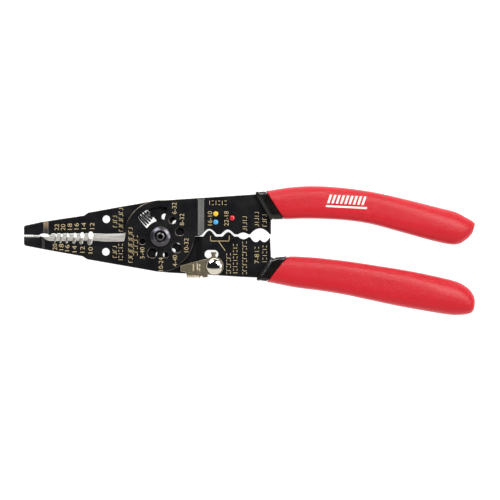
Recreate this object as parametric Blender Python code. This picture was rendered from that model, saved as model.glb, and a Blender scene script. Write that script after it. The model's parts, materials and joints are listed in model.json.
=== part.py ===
"""Wire stripper, cutter, screw shear and crimper: two crossed steel plates on one pivot.

front_half  lower jaw, pivot disc, upper crimp die and upper tang, in the layer facing up
rear_half   upper jaw, pivot disc, lower crimp die and lower tang, in the layer underneath
Both plates are offset (joggled) so that their noses and their crimp dies meet in one plane.
Sizes are in millimetres about the pivot, and made metres when a mesh is stored.
"""

import math

import bmesh
import bpy
from mathutils import Matrix, Vector
from mathutils.geometry import tessellate_polygon

MM = 0.001

# Plates
PLATE = 3.0
SLIDE_GAP = 0.1
EDGE_CHAMFER = 0.35
LEVEL = (PLATE + SLIDE_GAP) / 2
FRONT_TOP = SLIDE_GAP / 2 + PLATE
NOSE_X = -67.2
DIE_END_X = 54.4
FRONT_NOSE_JOGGLE = (-58.8, -56.4)
FRONT_TAIL_JOGGLE = (18.0, 21.9)
REAR_NOSE_JOGGLE = (-58.1, -54.7)
REAR_TAIL_JOGGLE = (17.1, 20.9)
JOGGLE_BENDS = ((0.0, 0.0), (0.2, 0.09), (0.8, 0.91), (1.0, 1.0))

# Pivot disc
FRONT_DISC_R = 17.9
FRONT_SWEEP_R = 17.3
FRONT_SHOULDER_R = 16.45
REAR_DISC_R = 17.1
PIVOT_HOLE_R = 3.5
OPENING_DEG = 25.0

# Screw shear: hole radius, distance from the pivot and bearing in the closed tool
SHEAR_HOLES = (
    (1.755, 10.0, 53.5),
    (2.085, 9.85, 14.7),
    (2.415, 9.74, -34.5),
    (1.42, 9.38, -73.4),
    (2.415, 9.03, -116.5),
    (1.59, 9.15, 194.8),
)
THREAD_DEPTH = 0.25
# Windows for the spring: inner and outer radius, then each end's bearing at those two radii
FRONT_WINDOW = ((7.4, 15.1), (75.0, 75.0), (153.5, 141.0))
REAR_WINDOW = ((7.4, 15.1), (97.5, 115.5), (175.0, 175.0))
WINDOW_CORNER = 0.8
LOOP_HOLE_R = 1.87
REAR_LOOP_HOLE = (-26.7, 8.56)
FRONT_LOOP_HOLE = (-26.8, -7.5)

# Stripping edge: notch position and radius, and the hollow-ground bevel behind it
NOTCHES = ((-51.4, 0.43), (-48.6, 0.53), (-45.5, 0.67), (-42.0, 0.83), (-38.45, 1.04), (-34.2, 1.31))
NOTCH_Y = 0.64
NOTCH_LEAN = 0.16
BEVEL_WIDTH = 3.9
BEVEL_DEPTH = 2.75
BEVEL_TOP = 1.95
BEVEL_REACH = 7.0
BEVEL_STEPS = (0.0, 0.4, 0.9, 1.6, 2.5, 3.9)
BEVEL_EDGE = (
    (-58.6, -0.35), (-57.6, -0.65), (-56.6, -1.3), (-55.5, -1.85), (-54.2, -2.12), (-50.0, -2.15),
    (-33.0, -2.05), (-28.0, -2.42), (-22.5, -2.5), (-19.6, -2.3), (-18.3, -1.6), (-17.6, -0.5),
    (-17.25, 0.7), (-17.1, 1.5),
)
NOSE_TEETH = 5
NOSE_TOOTH_PITCH = 0.88
NOSE_TOOTH_DEPTH = 0.3

# Crimp dies: centre, half width, height and fullness of each form along the die line
FRONT_DIES = ((23.9, 4.0, 2.9, 1.5), (33.1, 3.6, 2.35, 1.5), (40.7, 2.6, 0.9, 1.2), (48.95, 4.8, 2.95, 1.0))
REAR_DIES = ((24.05, 3.15, 2.95, 1.5), (33.4, 3.0, 2.2, 1.5), (40.7, 2.5, -1.15, 1.2))
REAR_LOBES = ((46.95, 2.65, -2.4, 1.0), (51.05, 2.65, -2.4, 1.0))
DIE_STEP = 0.55

# Pivot: barrel with a recessed face, screw with a hexagon socket in each end, washer
BARREL_HEAD_R = 5.0
BARREL_SHANK_R = 3.45
BARREL_HEAD_TOP = 4.95
BARREL_RECESS_R = 2.75
BARREL_RECESS_DEPTH = 0.85
BORE_GAP = 0.08
SCREW_R = 2.2
SCREW_HEAD_R = 4.7
HEAD_EDGE = 0.6
END_SOCKET = (2.1, 1.45)
HEAD_SOCKET = (4.0, 1.6)
SOCKET_TURN = 13
WASHER_THICKNESS = 0.6
PIVOT_WASHER_R = (2.5, 5.4)
REST_PLANE = -6.25

# Thumb lock: lever with a raised thumb flange and a tail that drops into the slot, rivet, washer
RIVET = (26.5, -14.6)
RIVET_HEAD_R = 4.0
RIVET_RIM = 0.35
RIVET_DOME = 1.25
RIVET_SHANK_R = 1.95
RIVET_TAIL = ((3.0, 0.0), (3.0, -0.5), (2.2, -1.1), (0.0, -1.3))
LOCK_WASHER_R = (2.1, 3.7)
LATCH_Z = (1.6, 3.05)
LATCH_HOLE_R = 2.0
LATCH_CHAMFER = 0.2
LATCH_SINK = 0.5
THUMB_RISE = 2.2
TAIL_END = -1.2
SLOT_R = 2.0
SLOT_SPAN = (23.75, 26.45)
SLOT_Y = -8.65

# Return spring, from its small end in the rear window to its big end in the front one
SPRING_ENDS = ((-4.93, 10.86), (-8.98, 7.35))
SPRING_RADII = (1.75, 2.8)
SPRING_WIRE_R = 0.54
SPRING_TURNS = 3.0
SPRING_TAPER = 0.5

# Grips: cover wall and running gap, then stations of (top point, bottom point, half thickness)
COVER_WALL = 1.3
COVER_GAP = 0.15
TANG_GAP = 0.15
UPPER_GRIP = (
    ((47.0, 22.0), (54.8, 8.15), 5.7), ((51.8, 22.5), (60.8, 8.45), 6.1),
    ((65.0, 24.4), (70.0, 8.8), 6.25), ((77.4, 24.9), (80.0, 8.65), 6.25),
    ((91.0, 23.9), (91.0, 8.0), 6.25), ((104.9, 21.9), (103.0, 6.3), 6.25),
    ((120.6, 18.4), (117.0, 2.6), 6.25), ((135.0, 14.8), (131.0, -1.3), 6.1),
    ((146.0, 12.6), (142.0, -3.5), 5.5), ((151.8, 9.8), (148.2, -3.1), 4.6),
    ((154.4, 7.4), (152.2, -0.3), 3.3), ((154.9, 5.4), (154.2, 3.0), 1.5),
)
LOWER_GRIP = (
    ((55.1, -10.2), (47.5, -21.5), 5.7), ((62.6, -9.65), (52.4, -22.3), 6.1),
    ((73.5, -10.1), (66.0, -25.0), 6.25), ((82.0, -10.9), (77.5, -26.5), 6.25),
    ((93.0, -12.2), (90.0, -28.5), 6.25), ((104.9, -14.0), (101.0, -30.8), 6.25),
    ((120.6, -16.5), (117.0, -34.2), 6.25), ((135.0, -19.4), (131.5, -36.8), 6.1),
    ((146.0, -22.2), (142.5, -38.5), 5.5), ((151.4, -25.3), (149.0, -38.5), 4.6),
    ((154.1, -28.8), (153.2, -36.6), 3.3), ((154.8, -31.4), (154.7, -34.2), 1.5),
)
COLLAR_STATIONS = 1.0
SLEEVE_END = 9.6


# --- plane geometry ---------------------------------------------------------------------

def polar(radius, degrees):
    return (radius * math.cos(math.radians(degrees)), radius * math.sin(math.radians(degrees)))


def arc(radius, start, end, steps, centre=(0.0, 0.0)):
    """Points along a circle's arc, both ends included."""
    turns = (start + (end - start) * i / steps for i in range(steps + 1))
    return [(centre[0] + x, centre[1] + y) for x, y in (polar(radius, a) for a in turns)]


def rounded(points, step=22.0):
    """A polygon whose corners given as (x, y, r) are filleted; (x, y) corners stay sharp."""
    out = []
    for i, point in enumerate(points):
        corner = Vector(point[:2])
        radius = point[2] if len(point) > 2 else 0.0
        back = (Vector(points[i - 1][:2]) - corner).normalized()
        ahead = (Vector(points[(i + 1) % len(points)][:2]) - corner).normalized()
        half = back.angle(ahead) / 2
        if half > math.radians(89.98):
            continue
        if not radius or half > math.radians(88):
            out.append(tuple(corner))
            continue
        reach = radius / math.tan(half)
        centre = corner + (back + ahead).normalized() * radius / math.sin(half)
        first, last = corner + back * reach - centre, corner + ahead * reach - centre
        turn = first.angle_signed(last)
        count = max(2, round(abs(math.degrees(turn)) / step))
        for j in range(count + 1):
            spoke = Matrix.Rotation(-turn * j / count, 2) @ first
            out.append(tuple(centre + spoke))
    return out


def inset(loop, distance):
    """The loop moved to the left of its own direction: into the plate, for an edge or a hole."""
    out = []
    for i, point in enumerate(loop):
        here = Vector(point)
        before = (here - Vector(loop[i - 1])).normalized()
        after = (Vector(loop[(i + 1) % len(loop)]) - here).normalized()
        normal = Vector((-before.y - after.y, before.x + after.x)).normalized()
        reach = max(0.5, normal.dot(Vector((-after.y, after.x))))
        out.append(tuple(here + normal * distance / reach))
    return out


def round_hole(x, y, radius, count=24):
    return [(x + px, y + py) for px, py in (polar(radius, -360 * i / count) for i in range(count))]


def window(radii, start, end):
    """A slot curved about the pivot, clockwise, with straight ends and rounded corners."""
    inner, outer = radii
    near = math.degrees(1.6 * WINDOW_CORNER / inner)
    far = math.degrees(1.6 * WINDOW_CORNER / outer)
    loop = [(*polar(inner, start[0]), WINDOW_CORNER)] + arc(inner, start[0] + near, end[0] - near, 6)
    loop += [(*polar(inner, end[0]), WINDOW_CORNER), (*polar(outer, end[1]), WINDOW_CORNER)]
    loop += arc(outer, end[1] - far, start[1] + far, 8) + [(*polar(outer, start[1]), WINDOW_CORNER)]
    return rounded(loop)[::-1]


# --- meshes -----------------------------------------------------------------------------

def material(name, colour, roughness, metallic=0.0):
    mat = bpy.data.materials.new(name)
    mat.use_nodes = True
    shader = mat.node_tree.nodes["Principled BSDF"]
    shader.inputs["Base Color"].default_value = (*colour, 1.0)
    shader.inputs["Roughness"].default_value = roughness
    shader.inputs["Metallic"].default_value = metallic
    mat.diffuse_color = (*colour, 1.0)
    return mat


def add_object(name, bm, mat=None, parent=None, origin=(0.0, 0.0, 0.0)):
    """Stores the millimetre bmesh as an object in metres, with its origin at the given point."""
    bmesh.ops.recalc_face_normals(bm, faces=bm.faces[:])
    for vert in bm.verts:
        vert.co = (vert.co - Vector(origin)) * MM
    mesh = bpy.data.meshes.new(name)
    bm.to_mesh(mesh)
    bm.free()
    obj = bpy.data.objects.new(name, mesh)
    bpy.context.scene.collection.objects.link(obj)
    if mat:
        mesh.materials.append(mat)
    obj.parent = parent
    shift = Vector(parent["spot"]) if parent and "spot" in parent else Vector()
    obj.location = (Vector(origin) - shift) * MM
    return obj


def cutter(name, bm, parent):
    obj = add_object(name, bm, parent=parent)
    obj.hide_render = True
    obj.display_type = "WIRE"
    return obj


def cut(obj, tool):
    boolean = obj.modifiers.new(tool.name, "BOOLEAN")
    boolean.operation = "DIFFERENCE"
    boolean.solver = "EXACT"
    boolean.object = tool


def smooth(obj, degrees=35.0):
    for face in obj.data.polygons:
        face.use_smooth = True
    obj.data.set_sharp_from_angle(angle=math.radians(degrees))


def stack(levels):
    """A bmesh of equal rings joined in order, closed at both ends."""
    bm = bmesh.new()
    rings = [[bm.verts.new(point) for point in ring] for ring in levels]
    count = len(rings[0])
    for lower, upper in zip(rings, rings[1:]):
        for i in range(count):
            j = (i + 1) % count
            bm.faces.new((lower[i], lower[j], upper[j], upper[i]))
    bm.faces.new(rings[0][::-1])
    bm.faces.new(rings[-1])
    return bm


def prism(loop, low, high):
    return stack([[(x, y, z) for x, y in loop] for z in (low, high)])


def lathe(profile, count, centre=(0.0, 0.0)):
    """A bmesh turned about Z from (radius, z) points; a closed profile makes a ring."""
    bm = bmesh.new()
    closed = all(radius > 0 for radius, _ in profile)
    rings = []
    for radius, z in profile:
        if radius > 0:
            spots = (polar(radius, 360 * i / count) for i in range(count))
            rings.append([bm.verts.new((centre[0] + x, centre[1] + y, z)) for x, y in spots])
        else:
            rings.append([bm.verts.new((*centre, z))] * count)
    pairs = list(zip(rings, rings[1:])) + ([(rings[-1], rings[0])] if closed else [])
    for one, two in pairs:
        for i in range(count):
            j = (i + 1) % count
            corners = dict.fromkeys((one[i], one[j], two[j], two[i]))
            if len(corners) > 2:
                bm.faces.new(tuple(corners))
    return bm


def chamfered_plate(outer, holes, low, high, chamfer):
    """A flat plate with every top and bottom edge chamfered, holes included."""
    bm = bmesh.new()
    loops = [outer] + holes
    steps = ((low, chamfer), (low + chamfer, 0.0), (high - chamfer, 0.0), (high, chamfer))
    rings = [[[bm.verts.new((x, y, z)) for x, y in inset(loop, d)] for z, d in steps] for loop in loops]
    for levels in rings:
        for lower, upper in zip(levels, levels[1:]):
            for i in range(len(lower)):
                j = (i + 1) % len(lower)
                bm.faces.new((lower[i], lower[j], upper[j], upper[i]))
    for level in (0, -1):
        flat = [vert for levels in rings for vert in levels[level]]
        spots = [[vert.co.copy() for vert in levels[level]] for levels in rings]
        for a, b, c in tessellate_polygon(spots):
            bm.faces.new((flat[a], flat[b], flat[c]))
    return bm


def joggle(bm, bends, drop):
    """Shifts the plate by drop outside each bend: bends are (start, end) towards the ends."""
    for near, far in bends:
        for share, _ in JOGGLE_BENDS:
            x = near + (far - near) * share
            geometry = bm.verts[:] + bm.edges[:] + bm.faces[:]
            bmesh.ops.bisect_plane(bm, geom=geometry, dist=1e-5, plane_co=(x, 0, 0), plane_no=(1, 0, 0))
    for vert in bm.verts:
        for near, far in bends:
            share = min(1.0, max(0.0, (vert.co.x - near) / (far - near)))
            for (a, low), (b, high) in zip(JOGGLE_BENDS, JOGGLE_BENDS[1:]):
                if a <= share <= b:
                    vert.co.z += drop * (low + (high - low) * (share - a) / (b - a))
                    break


# --- plates -----------------------------------------------------------------------------

def form(x, centre, half, height, fullness):
    across = 1 - ((x - centre) / half) ** 2
    return height * across ** fullness if across > 0 else 0.0


def ramp(x, start, end):
    return min(1.0, max(0.0, (x - start) / (end - start)))


def front_die_y(x):
    base = 0.5 + 0.55 * ramp(x, 19.0, 27.0)
    return base + sum(form(x, *die) for die in FRONT_DIES)


def rear_die_y(x):
    base = 0.05 - 0.32 * ramp(x, 38.0, 43.0)
    return base + sum(form(x, *die) for die in REAR_DIES) + min(form(x, *lobe) for lobe in REAR_LOBES)


def die_line(height, start, end):
    count = round((end - start) / DIE_STEP)
    return [(x, height(x)) for x in (start + (end - start) * i / count for i in range(count + 1))]


def front_outline():
    jaw = [(NOSE_X, -4.4, 1.4), (-58.6, -6.05), (-49.2, -7.75), (-38.3, -9.7, 1.5), (-36.0, -11.2, 1.5)]
    disc = arc(FRONT_SWEEP_R, -103.4, -58.6, 9) + arc(FRONT_SHOULDER_R, -54.0, -8.0, 9) + [(17.0, 0.3)]
    die = die_line(front_die_y, 18.5, DIE_END_X)
    tang = [
        (DIE_END_X, 9.9, 1.2), (62.0, 10.9), (75.0, 11.2), (89.0, 10.7), (105.0, 8.6), (120.0, 4.6),
        (137.0, 0.3, 3.0), (139.0, 9.9, 3.0), (121.0, 15.4), (105.0, 19.0), (89.0, 21.3), (77.0, 22.0),
        (64.0, 21.6), (46.5, 20.85),
    ]
    back = arc(FRONT_DISC_R, 86.0, 172.5, 17)
    blade = [(-17.9, 1.75), (-22.5, 1.45), (-27.0, 1.38), (-32.5, 1.62), (-53.4, 1.6, 1.0)]
    nose = [(-54.9, -0.15, 0.8), (-57.5, -0.25), (-59.8, 0.28, 0.5), (NOSE_X, 0.28, 0.2)]
    return rounded(jaw + disc + die + tang + back + blade + nose)


def rear_outline():
    nose = [(NOSE_X, 0.98, 0.2), (-59.8, 0.98, 0.5), (-58.6, 1.4), (-57.2, 1.58)]
    nose += [(-55.8, 1.35), (-54.7, 0.7, 0.3)]
    blade = [(-53.6, -0.32, 0.6), (-17.4, -0.32)]
    disc = arc(REAR_DISC_R, 182.0, 260.0, 13) + [(0.0, -17.4), (4.9, -17.85)]
    belly = [(12.0, -18.2), (24.6, -18.9), (39.4, -19.85)]
    tang = [
        (50.0, -20.3), (58.0, -20.9), (73.0, -23.2), (89.0, -25.7), (112.0, -30.7), (134.0, -34.9, 3.0),
        (136.5, -22.8, 3.0), (120.0, -19.1), (105.0, -16.6), (89.0, -14.3), (73.0, -12.6), (62.0, -12.1),
        (DIE_END_X + 0.1, -12.0, 1.2),
    ]
    die = [(DIE_END_X - 0.4, -0.27)] + die_line(rear_die_y, 17.6, DIE_END_X - 0.9)[::-1]
    back = arc(REAR_DISC_R - 0.1, 0.3, 72.0, 10) + [(1.6, 18.1, 2.0)]
    jaw = [
        (-4.9, 17.4), (-35.6, 11.9, 1.2), (-37.8, 10.4, 1.2), (-49.2, 8.75), (-58.6, 7.25), (-66.0, 5.65),
        (NOSE_X, 5.35, 0.5),
    ]
    return rounded(nose + blade + disc + belly + tang + die + back + jaw)


def shear_holes(turn, less=0.0):
    holes = []
    for radius, distance, bearing in SHEAR_HOLES:
        x, y = polar(distance, bearing + turn)
        holes.append(round_hole(x, y, radius - less, 20))
    return holes


def bevel_bm():
    """The ground space above the stripping edge, lofted along X, deepest at the edge."""
    stations = []
    for x, edge in BEVEL_EDGE:
        ring = [(x, edge - 0.4, FRONT_TOP + 1.0), (x, edge - 0.4, FRONT_TOP + 0.5)]
        for d in BEVEL_STEPS:
            depth = BEVEL_DEPTH * (1 - (1 - d / BEVEL_WIDTH) ** 1.6)
            ring.append((x, min(edge + d, BEVEL_TOP - 0.01 * (BEVEL_REACH - d)), FRONT_TOP - depth))
        far = min(edge + BEVEL_REACH, BEVEL_TOP)
        ring += [(x, far, FRONT_TOP - BEVEL_DEPTH), (x, far, FRONT_TOP + 1.0)]
        stations.append(ring)
    return stack(stations)


def notch_bm(x, radius):
    """A wire notch: a slot open at the stripping edge that runs out through the bevel at 45 degrees."""
    along = Vector((-NOTCH_LEAN, -1.0, 1.0)).normalized()
    across = Vector((1.0, 0.0, 0.0))
    up = along.cross(across).normalized()
    across = up.cross(along).normalized()
    section = [(radius * math.cos(a), -radius * math.sin(a)) for a in (math.pi * i / 9 for i in range(10))]
    section += [(-radius, 3.0), (radius, 3.0)]
    start = Vector((x, NOTCH_Y, 0.0))
    if (start + up).y < start.y:
        up = -up
    rings = []
    for reach in (-3.0, 7.5):
        rings.append([tuple(start + along * reach + across * u + up * v) for u, v in section])
    return stack(rings)


def teeth_bm(y, side):
    """A comb of small V cuts across a nose face, that opens towards side."""
    loop = []
    for i in range(NOSE_TEETH):
        x = NOSE_X + 0.5 + i * NOSE_TOOTH_PITCH
        loop += [(x - 0.28, y), (x, y - side * NOSE_TOOTH_DEPTH), (x + 0.28, y)]
    loop += [(loop[-1][0], y + side * 0.4), (loop[0][0], y + side * 0.4)]
    return prism(loop, -3.0, 3.0)


def turned_over(bm):
    """The same cutter for the other plate: turned half round the line where the edges meet."""
    for vert in bm.verts:
        vert.co = Vector((vert.co.x, 2 * NOTCH_Y - vert.co.y, -vert.co.z))
    return bm


def build_front_half(mat, parent):
    holes = shear_holes(0.0) + [window(*FRONT_WINDOW), round_hole(0, 0, PIVOT_HOLE_R, 36)]
    holes.append(round_hole(*FRONT_LOOP_HOLE, LOOP_HOLE_R))
    bm = chamfered_plate(front_outline(), holes, SLIDE_GAP / 2, FRONT_TOP, EDGE_CHAMFER)
    joggle(bm, (FRONT_NOSE_JOGGLE[::-1], FRONT_TAIL_JOGGLE), -LEVEL)
    obj = add_object("front_half", bm, mat, parent)
    cut(obj, cutter("front_bevel_cut", bevel_bm(), parent))
    for i, (x, radius) in enumerate(NOTCHES):
        cut(obj, cutter(f"front_notch_cut_{i}", notch_bm(x, radius), parent))
    cut(obj, cutter("front_teeth_cut", teeth_bm(0.28, 1), parent))
    smooth(obj)
    return obj


def latch_slot():
    near = arc(SLOT_R, 90, 270, 8, (SLOT_SPAN[0], SLOT_Y))
    far = arc(SLOT_R, -90, 90, 8, (SLOT_SPAN[1], SLOT_Y))
    return (near + far)[::-1]


def build_rear_half(mat, parent):
    holes = shear_holes(OPENING_DEG, THREAD_DEPTH)
    holes += [window(*REAR_WINDOW), round_hole(0, 0, PIVOT_HOLE_R, 36)]
    holes += [round_hole(*REAR_LOOP_HOLE, LOOP_HOLE_R), latch_slot(), round_hole(*RIVET, LATCH_HOLE_R)]
    bm = chamfered_plate(rear_outline(), holes, -FRONT_TOP, -SLIDE_GAP / 2, EDGE_CHAMFER)
    joggle(bm, (REAR_NOSE_JOGGLE[::-1], REAR_TAIL_JOGGLE), LEVEL)
    obj = add_object("rear_half", bm, mat, parent)
    cut(obj, cutter("rear_bevel_cut", turned_over(bevel_bm()), parent))
    for i, (x, radius) in enumerate(NOTCHES):
        cut(obj, cutter(f"rear_notch_cut_{i}", turned_over(notch_bm(x, radius)), parent))
    cut(obj, cutter("rear_teeth_cut", teeth_bm(0.98, -1), parent))
    smooth(obj)
    return obj


# --- hardware ---------------------------------------------------------------------------

def hexagon(width, turn=0.0):
    return [polar(width / math.sqrt(3), 60 * i + turn) for i in range(6)]


def washer_ring(radii, top, centre=(0.0, 0.0)):
    inner, outer = radii
    low = top - WASHER_THICKNESS
    return lathe([(inner, low), (outer, low), (outer, top), (inner, top)], 36, centre)


def build_pivot(steel, parent):
    base = FRONT_TOP + SLIDE_GAP
    top = BARREL_HEAD_TOP
    floor = top - BARREL_RECESS_DEPTH
    bore = SCREW_R + BORE_GAP
    foot = -FRONT_TOP + SLIDE_GAP
    barrel = lathe(
        [
            (BARREL_HEAD_R, base), (BARREL_HEAD_R, top - HEAD_EDGE), (BARREL_HEAD_R - HEAD_EDGE, top),
            (BARREL_RECESS_R + 0.3, top), (BARREL_RECESS_R, top - 0.3), (BARREL_RECESS_R, floor),
            (bore, floor - 0.1), (bore, foot), (BARREL_SHANK_R, foot), (BARREL_SHANK_R, base),
        ],
        36,
    )
    smooth(add_object("pivot_barrel", barrel, steel, parent))
    under = -FRONT_TOP - SLIDE_GAP
    smooth(add_object("pivot_washer", washer_ring(PIVOT_WASHER_R, under), steel, parent))
    seat = under - WASHER_THICKNESS - SLIDE_GAP
    tip = floor + 0.1
    screw = lathe(
        [
            (0.0, tip), (SCREW_R - 0.3, tip), (SCREW_R, tip - 0.3), (SCREW_R, seat),
            (SCREW_HEAD_R, seat), (SCREW_HEAD_R, REST_PLANE + HEAD_EDGE),
            (SCREW_HEAD_R - HEAD_EDGE, REST_PLANE), (0.0, REST_PLANE),
        ],
        32,
    )
    screw = add_object("pivot_screw", screw, steel, parent)
    width, depth = END_SOCKET
    cut(screw, cutter("end_socket_cut", prism(hexagon(width, SOCKET_TURN), tip - depth, tip + 1), parent))
    width, depth = HEAD_SOCKET
    socket = prism(hexagon(width, SOCKET_TURN), REST_PLANE - 1, REST_PLANE + depth)
    cut(screw, cutter("head_socket_cut", socket, parent))
    smooth(screw)


def build_latch_hardware(steel, parent):
    dome_base = LATCH_Z[1] + SLIDE_GAP
    under = -PLATE / 2 - SLIDE_GAP
    smooth(add_object("lock_washer", washer_ring(LOCK_WASHER_R, under, RIVET), steel, parent))
    turns = [math.pi / 2 * i / 6 for i in range(6, -1, -1)]
    rim = dome_base + RIVET_RIM
    head = [(RIVET_HEAD_R * math.cos(a), rim + RIVET_DOME * math.sin(a)) for a in turns]
    head[0] = (0.0, head[0][1])
    tail = under - WASHER_THICKNESS - SLIDE_GAP
    rivet = head + [(RIVET_HEAD_R, dome_base), (RIVET_SHANK_R, dome_base), (RIVET_SHANK_R, tail)]
    rivet += [(radius, tail + z) for radius, z in RIVET_TAIL]
    smooth(add_object("lock_rivet", lathe(rivet, 32, RIVET), steel, parent))


def latch_outline():
    tip = [(9.75, -14.4, 0.5), (9.8, -16.9, 0.6), (12.4, -17.45, 0.5), (12.85, -18.7)]
    flange = [(12.85, -20.2, 0.4), (19.5, -20.2, 0.3), (19.9, -19.45, 0.3), (20.5, -19.45, 0.3)]
    flange += [(20.9, -20.2, 0.3), (23.2, -20.05, 0.4), (23.4, -18.4, 0.6)]
    eye = arc(4.55, -118.0, 75.0, 14, RIVET)
    tail = [(27.5, -9.6, 0.5), (27.4, -7.95, 0.3), (25.0, -7.95, 0.3), (24.9, -9.9, 0.5)]
    back = [(23.2, -10.8, 1.0), (18.0, -12.1, 3.0)]
    return rounded(tip + flange + eye + tail + back)


def build_lock_lever(brass, parent):
    low, high = LATCH_Z
    pivot = (*RIVET, 0.0)
    hole = round_hole(*RIVET, LATCH_HOLE_R, 28)
    bm = chamfered_plate(latch_outline(), [hole], low, high, LATCH_CHAMFER)
    lever = add_object("lock_lever", bm, brass, parent, pivot)
    flange = rounded([(12.95, -20.15, 0.4), (19.1, -20.15, 0.4), (19.1, -19.2), (12.95, -19.2)])
    tail = [(25.0, -8.95), (27.4, -8.95), (27.4, -7.95), (25.0, -7.95)]
    thumb_span = (high - LATCH_SINK, high + THUMB_RISE)
    for name, loop, span in (("thumb", flange, thumb_span), ("tail", tail, (TAIL_END, high - LATCH_SINK))):
        piece = cutter(f"lever_{name}_form", prism(loop, *span), parent)
        piece.location = Vector(parent["spot"]) * -MM
        union = lever.modifiers.new(name, "BOOLEAN")
        union.operation = "UNION"
        union.solver = "EXACT"
        union.object = piece
    smooth(lever)
    return lever


def build_spring(wire, parent):
    """A conical coil between the end of one window and the end of the other."""
    steps, around = round(SPRING_TURNS * 18), 8
    small, big = (Vector((*point, 0.0)) for point in SPRING_ENDS)
    outward = Vector((0, 0, 1)).cross(small - big).normalized()
    centres = []
    for i in range(steps + 1):
        share = i / steps
        radius = SPRING_RADII[0] + (SPRING_RADII[1] - SPRING_RADII[0]) * min(1.0, share / SPRING_TAPER)
        turn = 2 * math.pi * SPRING_TURNS * share + math.pi
        spoke = outward * math.cos(turn) + Vector((0, 0, 1)) * math.sin(turn)
        centres.append((small.lerp(big, share) + spoke * radius, spoke))
    rings = []
    for i, (centre, spoke) in enumerate(centres):
        ahead = centres[min(i + 1, steps)][0] - centres[max(i - 1, 0)][0]
        lift = ahead.cross(spoke).normalized()
        turns = (2 * math.pi * k / around for k in range(around))
        offsets = (spoke * math.cos(a) + lift * math.sin(a) for a in turns)
        rings.append([tuple(centre + offset * SPRING_WIRE_R) for offset in offsets])
    smooth(add_object("return_spring", stack(rings), wire, parent), 60)


# --- grips ------------------------------------------------------------------------------

def station(stations, place):
    """The grip's (top, bottom, half thickness) at a fractional station, on a smooth curve."""
    last = len(stations) - 1
    i = min(int(place), last - 1)
    t = place - i
    flat = [[*top, *bottom, half] for top, bottom, half in stations]
    p = [flat[min(max(k, 0), last)] for k in (i - 1, i, i + 1, i + 2)]
    values = []
    for a, b, c, d in zip(*p):
        values.append(b + 0.5 * t * (c - a + t * (2 * a - 5 * b + 4 * c - d + t * (3 * (b - c) + d - a))))
    limit = -REST_PLANE
    return Vector(values[:2]), Vector(values[2:4]), min(values[4], limit)


def grip_ring(stations, place, shrink, shift=0.0):
    """One section of a grip: a rounded rectangle across the handle, flat above and below."""
    top, bottom, half = station(stations, place)
    middle, up = (top + bottom) / 2, (top - bottom) / 2
    high = up.length - shrink
    half = half - shrink
    up = up.normalized()
    ahead = Vector((up.y, -up.x))
    corner = min(0.82 * half, 0.8 * high)
    ring = []
    for sx, sz, start in ((1, 1, 0), (-1, 1, 90), (-1, -1, 180), (1, -1, 270)):
        for k in range(6):
            x, z = polar(corner, start + 18 * k)
            across = middle + ahead * shift + up * (sx * (high - corner) + x)
            ring.append((across.x, across.y, sz * (half - corner) + z))
    return ring


def grip_places(start, end):
    """Stations along a grip, closer together towards its rounded end."""
    coarse = [start]
    while coarse[-1] < end - 0.3:
        coarse.append(coarse[-1] + (0.5 if coarse[-1] < 8.5 else 0.34))
    return coarse[:-1] + [end]


def build_grip(name, stations, tang, black, red, parent):
    """A black inner sleeve that shows as a collar, and the red cover over the rest of it."""
    collar, tip = COLLAR_STATIONS, len(stations) - 1.0
    sleeve = [grip_ring(stations, 0.0, 1.0), grip_ring(stations, 0.0, 0.3, 0.25)]
    sleeve += [grip_ring(stations, 0.0, 0.0, 0.95), grip_ring(stations, collar, 0.0, -0.55)]
    sleeve += [grip_ring(stations, collar, 0.35, -0.2)]
    step = COVER_WALL + COVER_GAP
    sleeve += [grip_ring(stations, collar, step, -0.2)]
    sleeve += [grip_ring(stations, p, step) for p in (2, 3, 4, 5, 6, 7, 8, 9, SLEEVE_END)]
    inner = add_object(f"{name}_sleeve", stack(sleeve), black, parent)
    slot = inset(tang, -TANG_GAP)
    cut(inner, cutter(f"{name}_tang_cut", prism(slot, -PLATE / 2 - TANG_GAP, PLATE / 2 + TANG_GAP), parent))
    smooth(inner)
    outside = [grip_ring(stations, collar, 0.35, 0.0), grip_ring(stations, collar, 0.0, 0.4)]
    outside += [grip_ring(stations, p, 0.0) for p in grip_places(collar + 0.5, tip)]
    inside = [grip_ring(stations, collar, COVER_WALL, 0.0)]
    inside += [grip_ring(stations, p, COVER_WALL) for p in (2, 3, 4, 5, 6, 7, 8, 9, SLEEVE_END + 0.15)]
    smooth(add_object(f"{name}_grip", stack(inside[::-1] + outside), red, parent), 50)


# --- assembly ---------------------------------------------------------------------------

def axis_empty(name, spot, parent=None):
    empty = bpy.data.objects.new(name, None)
    bpy.context.scene.collection.objects.link(empty)
    empty.parent = parent
    empty.location = Vector(spot) * MM
    empty["spot"] = spot
    return empty


def settle(root):
    """Moves the tool so that it rests on z = 0 with its bounding box centred on the origin."""
    bpy.context.view_layer.update()
    graph = bpy.context.evaluated_depsgraph_get()
    points = []
    for obj in bpy.data.objects:
        if obj.type == "MESH" and not obj.hide_render:
            solid = obj.evaluated_get(graph)
            points += [solid.matrix_world @ Vector(corner) for corner in solid.bound_box]
    low = [min(point[i] for point in points) for i in range(3)]
    high = [max(point[i] for point in points) for i in range(3)]
    root.location = (-(low[0] + high[0]) / 2, -(low[1] + high[1]) / 2, -low[2])


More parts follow.
